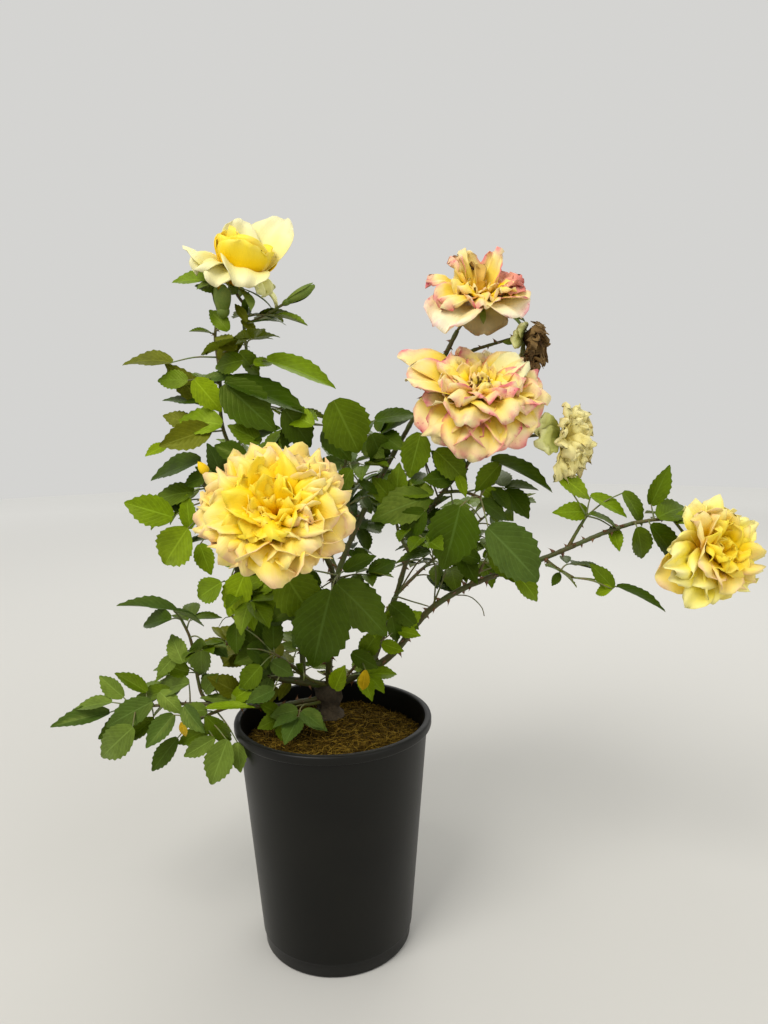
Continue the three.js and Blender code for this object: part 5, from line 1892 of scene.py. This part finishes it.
BLOOMS = (
    Bloom(
        "bloom_front", "cane_front", 1, via=((-41, 432, 84), (-49, 437, 90)), faces=(-0.06, 0.78, 0.56),
        hip=7, finishes=(BRIGHT_PETAL, YELLOW_PETAL), seed=1, reach=86,
        whorls=(
            Whorl(7, 26, (4, 26), 0.95, 56, 34, 4.0, 1.0, start=10),
            Whorl(10, 39, (12, 44), 0.9, 54, 38, 6.0, 1.2, start=35),
            Whorl(11, 50, (22, 60), 0.88, 46, 38, 6.5, 1.2, start=5),
            Whorl(13, 59, (36, 78), 0.82, 40, 36, 6.0, 1.2, finish=1, start=20),
            Whorl(15, 65, (50, 92), 0.78, 34, 34, 5.5, 1.2, finish=1, start=3),
            Whorl(6, 52, (28, 64), 0.55, 60, 40, 5.0, 1.4, finish=1, start=130, spread=110),
        ),
    ),
    Bloom(
        "bloom_top_left", "foliage_left_inner", 1, via=((-81, 653, -8), (-84, 661, -6)),
        faces=(0.36, 0.16, 0.95), hip=5.5, finishes=(BRIGHT_PETAL, CREAM_PETAL, PALE_PETAL), seed=2,
        sepal=42, sepal_lean=(85, 120), reach=66,
        whorls=(
            Whorl(4, 44, (22, 4), 1.05, 85, 4, 1.2),
            Whorl(4, 49, (46, 2), 1.15, 76, 10, 1.4, start=40),
            Whorl(5, 50, (62, 3), 1.1, 64, 16, 1.6, start=80),
            Whorl(1, 88, (45, 12), 0.7, 30, 14, 1.6, finish=1, start=66),
            Whorl(1, 62, (38, 14), 0.66, 44, 16, 1.6, finish=1, start=118),
            Whorl(1, 54, (44, 84), 0.9, -62, 4, 1.6, finish=1, start=190),
            Whorl(1, 48, (12, 142), 0.72, 50, 10, 3.0, finish=1, start=228),
            Whorl(1, 48, (8, 152), 0.8, 44, 10, 3.0, finish=1, start=256),
            Whorl(1, 58, (6, 140), 0.85, 40, 12, 3.0, finish=1, start=290),
            Whorl(1, 48, (8, 146), 0.6, 44, 12, 3.0, finish=2, start=330),
            Whorl(2, 46, (50, 120), 0.8, 30, 20, 2.0, finish=2, start=10, spread=110),
        ),
    ),
    Bloom(
        "bloom_top_right", "cane_back", 1, via=((139, 632, -18), (149, 642, -14)), faces=(0.02, 0.5, 0.86),
        hip=6,
        finishes=(
            BLUSH_PETAL, YELLOW_PETAL, PINK_PETAL, PAINTED_SHADE_PETAL, CREAM_PETAL, BROWNED_PETAL, PEARL_PETAL,
        ),
        seed=3, slot="blush_petal", sepal=24, reach=60,
        whorls=(
            Whorl(5, 24, (8, 50), 0.8, 40, 40, 3.0, 2.0, finish=1, start=10),
            Whorl(5, 36, (26, 70), 0.8, 36, 34, 4.0, 2.0, finish=1, start=30),
            Whorl(1, 52, (22, 22), 0.46, 40, 14, 3.0, 1.4, start=304),
            Whorl(1, 46, (30, 40), 0.44, 40, 20, 3.0, 2.0, start=330),
            Whorl(1, 48, (4, 14), 0.3, 60, 230, 2.0, 3.0, finish=5, start=290),
            Whorl(1, 54, (30, 26), 0.46, 40, 10, 3.0, 1.6, start=232),
            Whorl(1, 52, (48, 78), 0.4, 40, 20, 3.0, 2.0, start=352),
            Whorl(2, 48, (44, 96), 0.8, 44, 30, 4.0, 1.0, start=14, spread=50),
            Whorl(1, 62, (60, 106), 0.95, 26, 12, 3.0, 0.8, finish=6, start=46),
            Whorl(1, 40, (44, 96), 0.9, 26, 20, 4.0, 1.0, start=86),
            Whorl(1, 48, (56, 114), 1.15, 34, 14, 2.0, 0.6, finish=6, start=134),
            Whorl(1, 44, (50, 90), 0.9, 30, 24, 3.0, 1.0, start=160),
            Whorl(4, 44, (36, 84), 0.7, 40, 30, 4.0, 3.6, finish=2, start=172, spread=60),
            # This hanging petal takes the finish with painted shade in its dark tan colours.
            Whorl(1, 30, (100, 150), 1.6, 22, 0, 3.0, 1.6, finish=3, start=92),
        ),
    ),
    Bloom(
        "bloom_upper_right", "cane_centre", 1, via=((149, 532, 4), (148, 549, 10)),
        faces=(0.02, 0.56, 0.82), hip=6.5, finishes=(BLUSH_PETAL, YELLOW_PETAL, CREAM_PETAL, PINK_PETAL),
        seed=4, slot="blush_petal", sepal=30, stamens=60, reach=76,
        whorls=(
            Whorl(6, 24, (5, 30), 0.85, 54, 30, 3.0, 1.2, finish=1),
            Whorl(8, 36, (14, 50), 0.85, 54, 34, 4.0, 1.2, finish=1, start=24),
            Whorl(9, 48, (28, 72), 0.85, 46, 30, 5.0, 1.2, start=8),
            Whorl(9, 58, (44, 94), 0.85, 36, 26, 5.0, 1.2, start=28),
            Whorl(1, 76, (48, 84), 0.82, 44, 12, 3.0, 0.8, start=2),
            Whorl(2, 62, (52, 96), 0.9, 30, 20, 4.0, 0.8, start=168, spread=40),
            Whorl(6, 66, (62, 128), 0.9, 26, 22, 4.0, 0.8, start=25, spread=150),
            Whorl(1, 84, (58, 72), 0.58, 34, 10, 2.5, 0.6, start=332),
            Whorl(1, 60, (30, 74), 0.8, 40, 20, 3.0, 1.0, finish=2, start=196),
            Whorl(1, 54, (66, 118), 0.6, 40, 30, 3.0, 4.0, finish=3, start=72),
        ),
    ),
    Bloom(
        "bloom_far_right", "foliage_right_end", 1, via=((356, 412, 28), (372, 396, 32)),
        faces=(0.4, 0.84, 0.3), hip=6.5, finishes=(BRIGHT_PETAL, YELLOW_PETAL, LEMON_PETAL, BLUSH_PETAL),
        seed=5, reach=70,
        whorls=(
            Whorl(6, 30, (4, 24), 0.95, 60, 25, 3.0, 0.8),
            Whorl(7, 39, (14, 46), 0.92, 56, 30, 4.0, 0.8, start=22),
            Whorl(7, 46, (26, 70), 0.92, 46, 26, 5.0, 0.8, finish=1, start=10),
            Whorl(8, 48, (42, 92), 0.85, 36, 22, 5.0, 0.8, finish=2, start=30),
            Whorl(3, 62, (54, 94), 0.56, 34, 14, 4.0, 0.8, finish=2, start=2, spread=66),
            Whorl(1, 56, (80, 116), 0.8, 30, 10, 2.0, finish=1, start=20),
            Whorl(1, 42, (40, 74), 0.6, 30, 20, 3.0, finish=3, start=296),
            Whorl(1, 54, (40, 74), 0.5, 34, 14, 4.0, 0.8, finish=2, start=206),
        ),
    ),
    Bloom(
        "bloom_spent_brown", "cane_spent_bloom", 1, via=((188, 611, -22), (191, 611, -20)),
        faces=(0.75, 0.5, -0.1), hip=5, finishes=(BROWN_PETAL, PALE_PETAL), seed=6, slot="spent_petal",
        sepal=24, reach=26, hang=11,
        whorls=(
            Whorl(8, 22, (10, 50), 0.9, 40, 30, 2.0, 3.6),
            Whorl(8, 27, (24, 80), 0.9, 30, 30, 2.0, 4.2, start=20),
            Whorl(2, 26, (60, 110), 0.9, 24, 10, 1.0, 1.0, finish=1, start=320, spread=50),
            Whorl(1, 30, (60, 110), 0.7, 24, 10, 1.0, 1.0, finish=1, start=60),
        ),
    ),
    Bloom(
        "bloom_spent_cream", "cane_centre", 0.96, via=((170, 510, -14), (205, 516, -10), (229, 515, -4)),
        faces=(0.5, 0.78, 0.1), hip=6, finishes=(TAN_PETAL, PALE_PETAL), seed=7, slot="blush_petal",
        sepal=26, reach=46, hang=5,
        whorls=(
            Whorl(6, 24, (10, 60), 0.9, 40, 30, 2.0, 3.4),
            Whorl(5, 33, (36, 88), 0.85, 34, 30, 2.5, 3.6, start=190, spread=100),
            Whorl(5, 36, (56, 100), 0.75, 34, 26, 2.5, 3.4, start=78, spread=90),
            Whorl(2, 34, (70, 96), 0.9, 30, 10, 2.0, 2.4, finish=1, start=330, spread=60),
        ),
    ),
)

BUDS = (
    Bud(
        "bud_top_left", "foliage_left_outer", 1, ((-98, 630, 0), (-95, 636, 10)), (-0.02, 0.25, 1), 27, 18,
        sepal=1.0,
    ),
    Bud(
        "bud_reddish", "foliage_left_inner", 0.87, ((-60, 632, -6), (-36, 645, -2)), (1, 0.2, 0.5), 22, 9.5,
        sepal=1.45,
    ),
    Bud(
        "bud_left", "cane_left", 0.89, ((-106, 474, 14), (-114, 479, 24)), (-0.5, 0.3, 0.8), 20, 12,
        sepal=0.5,
    ),
)


# Foliage


@dataclass(frozen=True)
class LeafletShape:
    """A toothed leaflet a unit long, folded along its midrib, wavy at its edges and drooping at its tip."""

    breadth: float
    fold: float
    droop: float
    wave: float
    teeth: int = 8
    notch: float = 0.1
    tooth_reach: float = 0.022
    outs: tuple[float, ...] = (-1.0, -0.55, 0.0, 0.55, 1.0)

    def half_width(self, share: float) -> float:
        """Half the width, as a share of the length, at a share of the way to the pointed tip."""
        swell = math.sin(math.pi * min(0.985, 0.02 + 0.98 * share) ** 0.84) ** (0.6 + 0.4 * share)
        return 0.5 * self.breadth * max(0.02, swell)

    def build(self, name: str) -> Thing:
        """Makes the pattern object.

        Args:
            name: what it is called.

        Returns:
            The object, out of the scene.
        """
        rows = 2 * self.teeth + 1
        points, uv = [], []
        for row, share in enumerate(np.linspace(0.0, 1.0, rows)):
            half = self.half_width(share)
            for out in self.outs:
                edge = abs(out) == 1.0
                across = out * half * (1.0 - self.notch if edge and row % 2 == 0 else 1.0)
                forward = self.tooth_reach if edge and row % 2 else 0.0
                lift = self.fold * abs(across) - 0.5 * abs(across) ** 2 - self.droop * share**2
                lift += self.wave * abs(out) * math.sin(9.0 * share + 2.0 * out) * share * (1.1 - share)
                points.append((share + forward, across, lift))
                uv.append((0.5 + 0.5 * out, share))
        faces = [face[::-1] for face in grid_faces(rows, len(self.outs), False)]
        return Shell().add(np.array(points) / MM, faces, np.array(uv)).pattern(name)


LEAFLET_SHAPES = (
    LeafletShape(0.72, 0.5, 0.14, 0.05),
    LeafletShape(0.66, 0.34, 0.36, 0.06),
    LeafletShape(0.6, 0.62, 0.1, 0.03),
    LeafletShape(0.7, 0.25, 0.24, 0.04),
    LeafletShape(0.64, 0.42, 0.16, 0.03),
)


def thorn_shape(name: str, hook: float) -> Thing:
    """A flat-based thorn a unit long that hooks down, along +X with its cane along +Z.

    Args:
        name: what it is called.
        hook: how far the point drops.

    Returns:
        The pattern object, out of the scene.
    """
    rings = []
    for share in (-0.12, 0.12, 0.45, 0.8, 1.0):
        slim = max(0.04, (1 - max(0.0, share)) ** 1.4)
        rings.append(oval(share, 0.16 * slim, 0.42 * slim, 6) - (0.0, 0.0, hook * max(0.0, share) ** 2))
    return spindle(name, rings)


def stamen_shape(name: str) -> Thing:
    """A stamen a unit long along +X: a thread with a small anther."""
    sections = ((0.0, 0.02), (0.84, 0.02), (0.88, 0.06), (0.97, 0.06), (1.0, 0.02))
    return spindle(name, [oval(share, radius, radius, 4) for share, radius in sections])


@dataclass
class Garden:
    """Gathers the courses of the limbs, the leaflets by tone, and the small green parts of the whole bush."""

    effects: Effects
    courses: dict[str, Course] = field(default_factory=dict)
    materials: dict[str, Material] = field(default_factory=dict)
    blades: dict[Tone, list[Copy]] = field(default_factory=lambda: {tone: [] for tone in Tone})
    stamens: list[Copy] = field(default_factory=list)
    thorns: list[Copy] = field(default_factory=list)
    stems: Shell = field(default_factory=Shell)
    ribs: Shell = field(default_factory=Shell)
    greens: Shell = field(default_factory=Shell)
    keep_out: list[tuple[Array, float]] = field(default_factory=list)
    bark_seed: int = 40
    thorn_seed: int = 60
    shoot_thorn_seed: int = 90
    leaf_seed: int = 500

    def material(self, finish: Surface) -> Material:
        """The finish's material, made once.

        Args:
            finish: the finish.

        Returns:
            The material.
        """
        if finish.name not in self.materials:
            self.materials[finish.name] = finish.material(self.effects)
        return self.materials[finish.name]

    def lay(self, limb: Limb | Shoot | Bloom | Bud) -> Course:
        """Lays a limb's course from its parent's middle by way of its spots.

        Args:
            limb: the limb, or the shoot, bloom or bud whose stem it is.

        Returns:
            The course.
        """
        start = self.courses[limb.parent].at(limb.share)
        self.courses[limb.name] = Course([start, *(Sight.spot(place) for place in limb.via)])
        return self.courses[limb.name]

    def prick(self, course: Course, radius: Radius, every: float, size: float, seed: int) -> None:
        """Sets thorns along a limb.

        Args:
            course: the limb's course.
            radius: its radius at a share.
            every: about how far apart they are, in mm.
            size: how long they are, in mm.
            seed: the limb's seed.
        """
        rng = np.random.default_rng(seed)
        count = int(course.length / every)
        for i in range(count):
            share = 0.04 + 0.94 * (i + rng.uniform(0.1, 0.9)) / count
            way = course.way(share)
            out = square_to(way, GOLDEN_ANGLE * i + rng.uniform(-30, 30))
            place = course.at(share) + out * radius(share) * 0.92
            length = size * rng.uniform(0.55, 1.15)
            self.thorns.append((place, unit(out - 0.12 * way), way, length, int(rng.integers(2))))


@dataclass(frozen=True)
class LeafRule:
    """How a rose leaf is laid out: a rib that ends in one leaflet, with pairs below it."""

    spread: float = 60.0
    rib: float = 0.75
    arch: float = 0.12
    bow: float = 0.06
    end_share: float = 0.85
    pair_limit: float = 44.0
    pair_room: float = 9.0
    pair_step: float = 0.62

    @staticmethod
    def facing(run: Array, degrees: float) -> Array:
        """The way a leaf's upper side looks: the sky at 0 degrees and the eye at 90, square to its run."""
        look = UP * math.cos(math.radians(degrees)) + FRONT * math.sin(math.radians(degrees))
        return unit(look - run * float(look @ run))

    def grow(self, garden: Garden, base: Array, tip: Array, leaf: Leaf, tone: Tone, rng: Random) -> None:
        """Grows one leaf.

        Args:
            garden: what gathers the leaflets and ribs.
            base: where it leaves its stem.
            tip: where its end leaflet's tip lies.
            leaf: its leaflets, size and facing.
            tone: its green.
            rng: the shoot's random numbers.
        """
        run = tip - base
        span = float(np.linalg.norm(run))
        run = run / span
        look = self.facing(run, leaf.face)
        side = np.cross(run, look)
        end = min(leaf.size, self.end_share * span)
        stalk = span - end
        bow = self.bow * stalk * rng.normal()

        def rib_at(share: float) -> Array:
            """A place on the rib, which arches up and bows to one side."""
            arch = math.sin(math.pi * share)
            return base + run * share * stalk + look * self.arch * stalk * arch + side * bow * arch

        def set_leaflet(foot: Array, along: Array, length: float) -> None:
            """Sets one leaflet, tipped and rolled a little its own way.

            Args:
                foot: where it starts.
                along: the way it runs.
                length: how long it is, in mm.
            """
            tipped = unit(along + 0.1 * rng.normal(size=3))
            rolled = turned(look, tipped, 11 * rng.normal())
            garden.blades[tone].append((foot, tipped, rolled, length, int(rng.integers(len(LEAFLET_SHAPES)))))

        course = Course([rib_at(share) for share in (0.0, 0.25, 0.5, 0.75, 1.0)])
        rib = tube(course, lambda share: self.rib * (1.25 - 0.45 * share), sides=5, steps=8)
        garden.ribs.add(*rib)
        set_leaflet(course.at(1.0), run, end)
        count = min((leaf.leaflets - 1) // 2, int(stalk // self.pair_room))
        for i in range(count):
            share = 1 - (0.1 + self.pair_step * i) / max(1.0, count - 0.4)
            for hand in (-1.0, 1.0):
                angle = math.radians(self.spread + 9 * rng.uniform(-1, 1))
                along = run * math.cos(angle) + side * hand * math.sin(angle)
                length = min(end, self.pair_limit) * (0.9 - 0.1 * i) * rng.uniform(0.88, 1.1)
                foot = course.at(max(0.02, share + rng.uniform(-0.02, 0.02)))
                joint = Course([foot, foot + along * 1.5, foot + along * 2.6])
                garden.ribs.add(*tube(joint, lambda _: 0.55 * self.rib, sides=4, steps=2))
                set_leaflet(foot + along * 2.4, along, length)


@dataclass
class Bush:
    """The whole plant above the compost."""

    garden: Garden
    rule: LeafRule = field(default_factory=LeafRule)
    crown: Crown = field(default_factory=Crown)
    fill_sizes: tuple[float, float] = (26.0, 40.0)
    fill_reaches: tuple[float, float] = (1.7, 2.5)
    fill_faces: tuple[float, float] = (0.0, 45.0)
    fill_sway: float = 40.0
    fill_droop: float = 0.12

    def build(self) -> None:
        """Grows the crown, canes, shoots, roses, buds and leaves."""
        garden = self.garden
        garden.courses["trunk"] = self.crown.course()
        self.crown.build(garden.effects)
        for i, cane in enumerate(CANES):
            cane.build(garden, i)
        for i, shoot in enumerate(SHOOTS):
            shoot.build(garden, i)
        for i, twig in enumerate(TWIGS):
            garden.stems.add(*tube(garden.lay(twig), twig.radius, sides=7, steps=12, rough=0.08, seed=i))
        for bloom in BLOOMS:
            garden.keep_out.append((bloom.centre + bloom.axis * 0.3 * bloom.reach, 0.5 * bloom.reach))
            bloom.build(garden)
        for bud in BUDS:
            bud.build(garden)
        for i, shoot in enumerate(SHOOTS):
            self.leaf_out(shoot, np.random.default_rng(garden.leaf_seed + i))
        self.finish_small_parts()

    def leaf_out(self, shoot: Shoot, rng: Random) -> None:
        """Grows a shoot's aimed leaves and placed leaflets, and then the leaves that fill its room.

        Args:
            shoot: the shoot.
            rng: its random numbers.
        """
        course = self.garden.courses[shoot.name]
        for i, leaf in enumerate(shoot.leaves):
            tip = Sight.spot((leaf.across, leaf.up, leaf.toward))
            tone = shoot.tones[i % len(shoot.tones)]
            self.rule.grow(self.garden, course.at(leaf.share), tip, leaf, tone, rng)
        for blade in shoot.blades:
            self.set_blade(course, blade, rng)
        count = 1 + 3 * shoot.fill
        for i in range(count):
            self.fill_leaf(shoot, course, i, count, rng)

    def set_blade(self, course: Course, blade: Blade, rng: Random) -> None:
        """Sets one placed leaflet, on a stalk from the nearest point of its shoot's stem.

        Args:
            course: the stem's course.
            blade: the leaflet.
            rng: the shoot's random numbers.
        """
        lean = 10 * rng.uniform(-1, 1)
        foot = Sight.spot((blade.foot_across, blade.foot_up, blade.toward - lean))
        tip = Sight.spot((blade.tip_across, blade.tip_up, blade.toward + lean))
        near = course.dense[int(np.argmin(np.linalg.norm(course.dense - foot, axis=1)))]
        middle = 0.5 * (near + foot) + UP * 0.06 * float(np.linalg.norm(near - foot))
        stalk = Course([near, middle, foot + 0.02 * (tip - foot)])
        self.garden.ribs.add(*tube(stalk, lambda share: 0.95 - 0.35 * share, sides=5, steps=8))
        along = tip - foot
        length = float(np.linalg.norm(along))
        look = self.rule.facing(unit(along), blade.face + 8 * rng.normal())
        size = (length, blade.width * length, length)
        kind = int(rng.integers(len(LEAFLET_SHAPES)))
        self.garden.blades[blade.tone].append((foot, unit(along), look, size, kind))

    def fill_leaf(self, shoot: Shoot, course: Course, index: int, count: int, rng: Random) -> None:
        """Grows one leaf of the shoot's own, a golden angle on from the last, if its room allows.

        Args:
            shoot: the shoot.
            course: its stem.
            index: which leaf this is.
            count: how many there are.
            rng: the shoot's random numbers.
        """
        share = 0.2 + 0.8 * (index + 0.5) / count
        tangent = course.way(share)
        turn = math.radians(GOLDEN_ANGLE * index + self.fill_sway * rng.uniform())
        level = np.array((math.cos(turn), math.sin(turn), 0.1))
        out = unit(level + tangent * (0.35 - float(level @ tangent)))
        size = rng.uniform(*self.fill_sizes)
        reach = size * rng.uniform(*self.fill_reaches)
        leaf = Leaf(share, 0, 0, 0, leaflets=5, size=size, face=rng.uniform(*self.fill_faces))
        tone = shoot.tones[int(rng.integers(len(shoot.tones)))]
        base = course.at(share)
        tip = base + out * reach - UP * self.fill_droop * reach
        if self.clear(shoot, base, tip):
            self.rule.grow(self.garden, base, tip, leaf, tone, rng)

    def clear(self, shoot: Shoot, base: Array, tip: Array) -> bool:
        """Whether a leaf keeps to its shoot's room and out of the roses.

        Args:
            shoot: the shoot.
            base: where the leaf leaves its stem.
            tip: where it ends.

        Returns:
            True where it may grow.
        """
        if any(not low <= part <= high for part, (low, high) in zip(Sight.seen(tip), shoot.room)):
            return False
        places = [base + (tip - base) * share for share in (0.5, 0.8, 1.0)]
        rooms = self.garden.keep_out
        return all(np.linalg.norm(place - middle) > radius for place in places for middle, radius in rooms)

    def finish_small_parts(self) -> None:
        """Turns what was gathered into pieces."""
        garden = self.garden
        foliage = [shoot.name for shoot in SHOOTS]
        stand_for(garden.stems.build("green_stems", garden.material(TWIG_FINISH)), "bark", *foliage)
        stand_for(garden.ribs.build("leaf_ribs", garden.material(RIB_FINISH)), "leaf")
        stand_for(garden.greens.build("hips_and_sepals", garden.material(SEPAL_FINISH)), "leaf")
        shapes = [shape.build(f"leaflet_shape_{i}") for i, shape in enumerate(LEAFLET_SHAPES)]
        leaves = PlacedCopies("Set leaflets", shapes)
        for tone, rows in garden.blades.items():
            green = garden.material(LEAF_FINISHES[tone])
            stand_for(leaves.scatter(f"leaves_{tone.value}", rows, green), "leaf")
        hooks = [thorn_shape("thorn_hooked", 0.45), thorn_shape("thorn_short", 0.25)]
        thorns = PlacedCopies("Set thorns", hooks)
        stand_for(thorns.scatter("thorns", garden.thorns, garden.material(THORN_FINISH)), "bark")
        threads = PlacedCopies("Set stamens", [stamen_shape("stamen_shape")])
        stand_for(threads.scatter("stamens", garden.stamens, garden.material(STAMEN_FINISH)), "spent_petal")


# Studio


@dataclass(frozen=True)
class FloorFinish(Surface):
    """A plain floor painted paler away from the pot, as painted light that makes up for the panels' light
    falling off, so that it runs into the sky.
    """

    name: str = "studio_floor"
    near: Colour = (0.56, 0.55, 0.52)
    far: Colour = (0.98, 0.975, 0.95)
    near_reach: float = 0.4
    far_reach: float = 4.0

    def paint(self, nodes: Nodes, effects: Effects) -> dict[str, object]:
        """Wires up the colour, painted paler by how far from the pot it is in place of even light, and a
        slight relief.

        Args:
            nodes: the material's nodes.
            effects: the shared shader groups.

        Returns:
            The shader's inputs.
        """
        place = nodes.add("ShaderNodeTexCoord").outputs["Object"]
        away = nodes.add("ShaderNodeVectorMath", operation="LENGTH", inputs={0: place}).outputs["Value"]
        # Painted light: the floor's colour grows paler with distance to make up for the light that falls off
        # away from the panels.
        painted_light_share = nodes.ramp(away, self.near_reach, self.far_reach)
        relief = nodes.group(effects.relief, Coarse=12.0, Fine=300.0, Share=0.3)
        return {
            "Base Color": nodes.blend(painted_light_share, rgba(self.near), rgba(self.far)),
            "Roughness": 0.9,
            "Specular IOR Level": 0.1,
            "Normal": nodes.bump(0.1, 0.2, relief["Height"]),
        }


@dataclass(frozen=True)
class Panel:
    """A square light that shines at the bush: place and side in metres, power in watts, and colour."""

    name: str
    place: Spot
    size: float
    power: float
    colour: Colour
    target: Spot = (0.02, 0.0, 0.38)

    def hang(self) -> None:
        """Hangs the panel, turned to its target."""
        light = bpy.data.lights.new(self.name, "AREA")
        light.size = self.size
        light.energy = self.power
        light.color = self.colour
        lamp = shown(bpy.data.objects.new(self.name, light))
        lamp.location = self.place
        aim = np.array(self.target) - np.array(self.place)
        lamp.rotation_euler = euler_of(np.cross(UP, aim), -aim)


PANELS = (
    Panel("key_panel", (-0.9, -1.3, 2.3), 1.2, 44.0, (1.0, 0.98, 0.94)),
    Panel("fill_panel", (1.7, -1.2, 1.1), 1.6, 9.0, (1.0, 1.0, 1.0)),
    Panel("back_panel", (0.5, 1.7, 1.9), 1.4, 14.0, (1.0, 0.99, 0.96)),
)


@dataclass
class Studio:
    """A plain pale floor, soft light from large panels, and the camera where the photographer stood."""

    effects: Effects
    floor_radius: float = 5.0
    floor_sides: int = 96
    floor_drop: float = 0.15
    sky: Colour = (1.0, 0.995, 0.97)
    sky_strength: float = 0.66
    sensor: float = 36.0
    clip_start: float = 0.01

    def build(self) -> None:
        """Sets up floor, lights, sky and camera."""
        rim = circle(self.floor_radius / MM, self.floor_sides, -self.floor_drop)
        floor = Shell().add(rim, [tuple(range(self.floor_sides))])
        floor.build("studio_floor", FloorFinish().material(self.effects))
        for panel in PANELS:
            panel.hang()
        self.light_sky()
        self.place_camera()

    def light_sky(self) -> None:
        """Lights the bush softly from all round."""
        world = bpy.data.worlds.new("soft_sky")
        world.use_nodes = True
        nodes = Nodes(world.node_tree)
        values = {"Color": rgba(self.sky), "Strength": self.sky_strength}
        sky = nodes.add("ShaderNodeBackground", inputs=values)
        nodes.add("ShaderNodeOutputWorld", inputs={"Surface": sky.outputs[0]})
        bpy.context.scene.world = world
        bpy.context.scene.view_settings.view_transform = "Standard"

    def place_camera(self) -> None:
        """Puts the camera at the photographer's eye, pitched down and rolled as it was."""
        pitch, roll = math.radians(Sight.pitch), math.radians(Sight.roll)
        right = np.array((1.0, 0.0, 0.0))
        up = np.array((0.0, math.sin(pitch), math.cos(pitch)))
        back = np.array((0.0, -math.cos(pitch), math.sin(pitch)))
        camera = bpy.data.cameras.new("camera")
        camera.sensor_width = self.sensor
        camera.lens = Sight.focal * self.sensor / Sight.picture_height
        camera.clip_start = self.clip_start
        holder = shown(bpy.data.objects.new("camera", camera))
        holder.location = Sight.eye * MM
        holder.rotation_euler = euler_of(right * math.cos(roll) + up * math.sin(roll), back)
        bpy.context.scene.camera = holder


def main() -> None:
    """Builds the potted rose bush and its studio."""
    logging.basicConfig(level=logging.INFO, format="%(message)s")
    effects = Effects()
    pot = NurseryPot()
    pot.build(effects)
    Compost(pot).build(effects)
    Bush(Garden(effects)).build()
    Studio(effects).build()


if __name__ == "__main__":
    main()
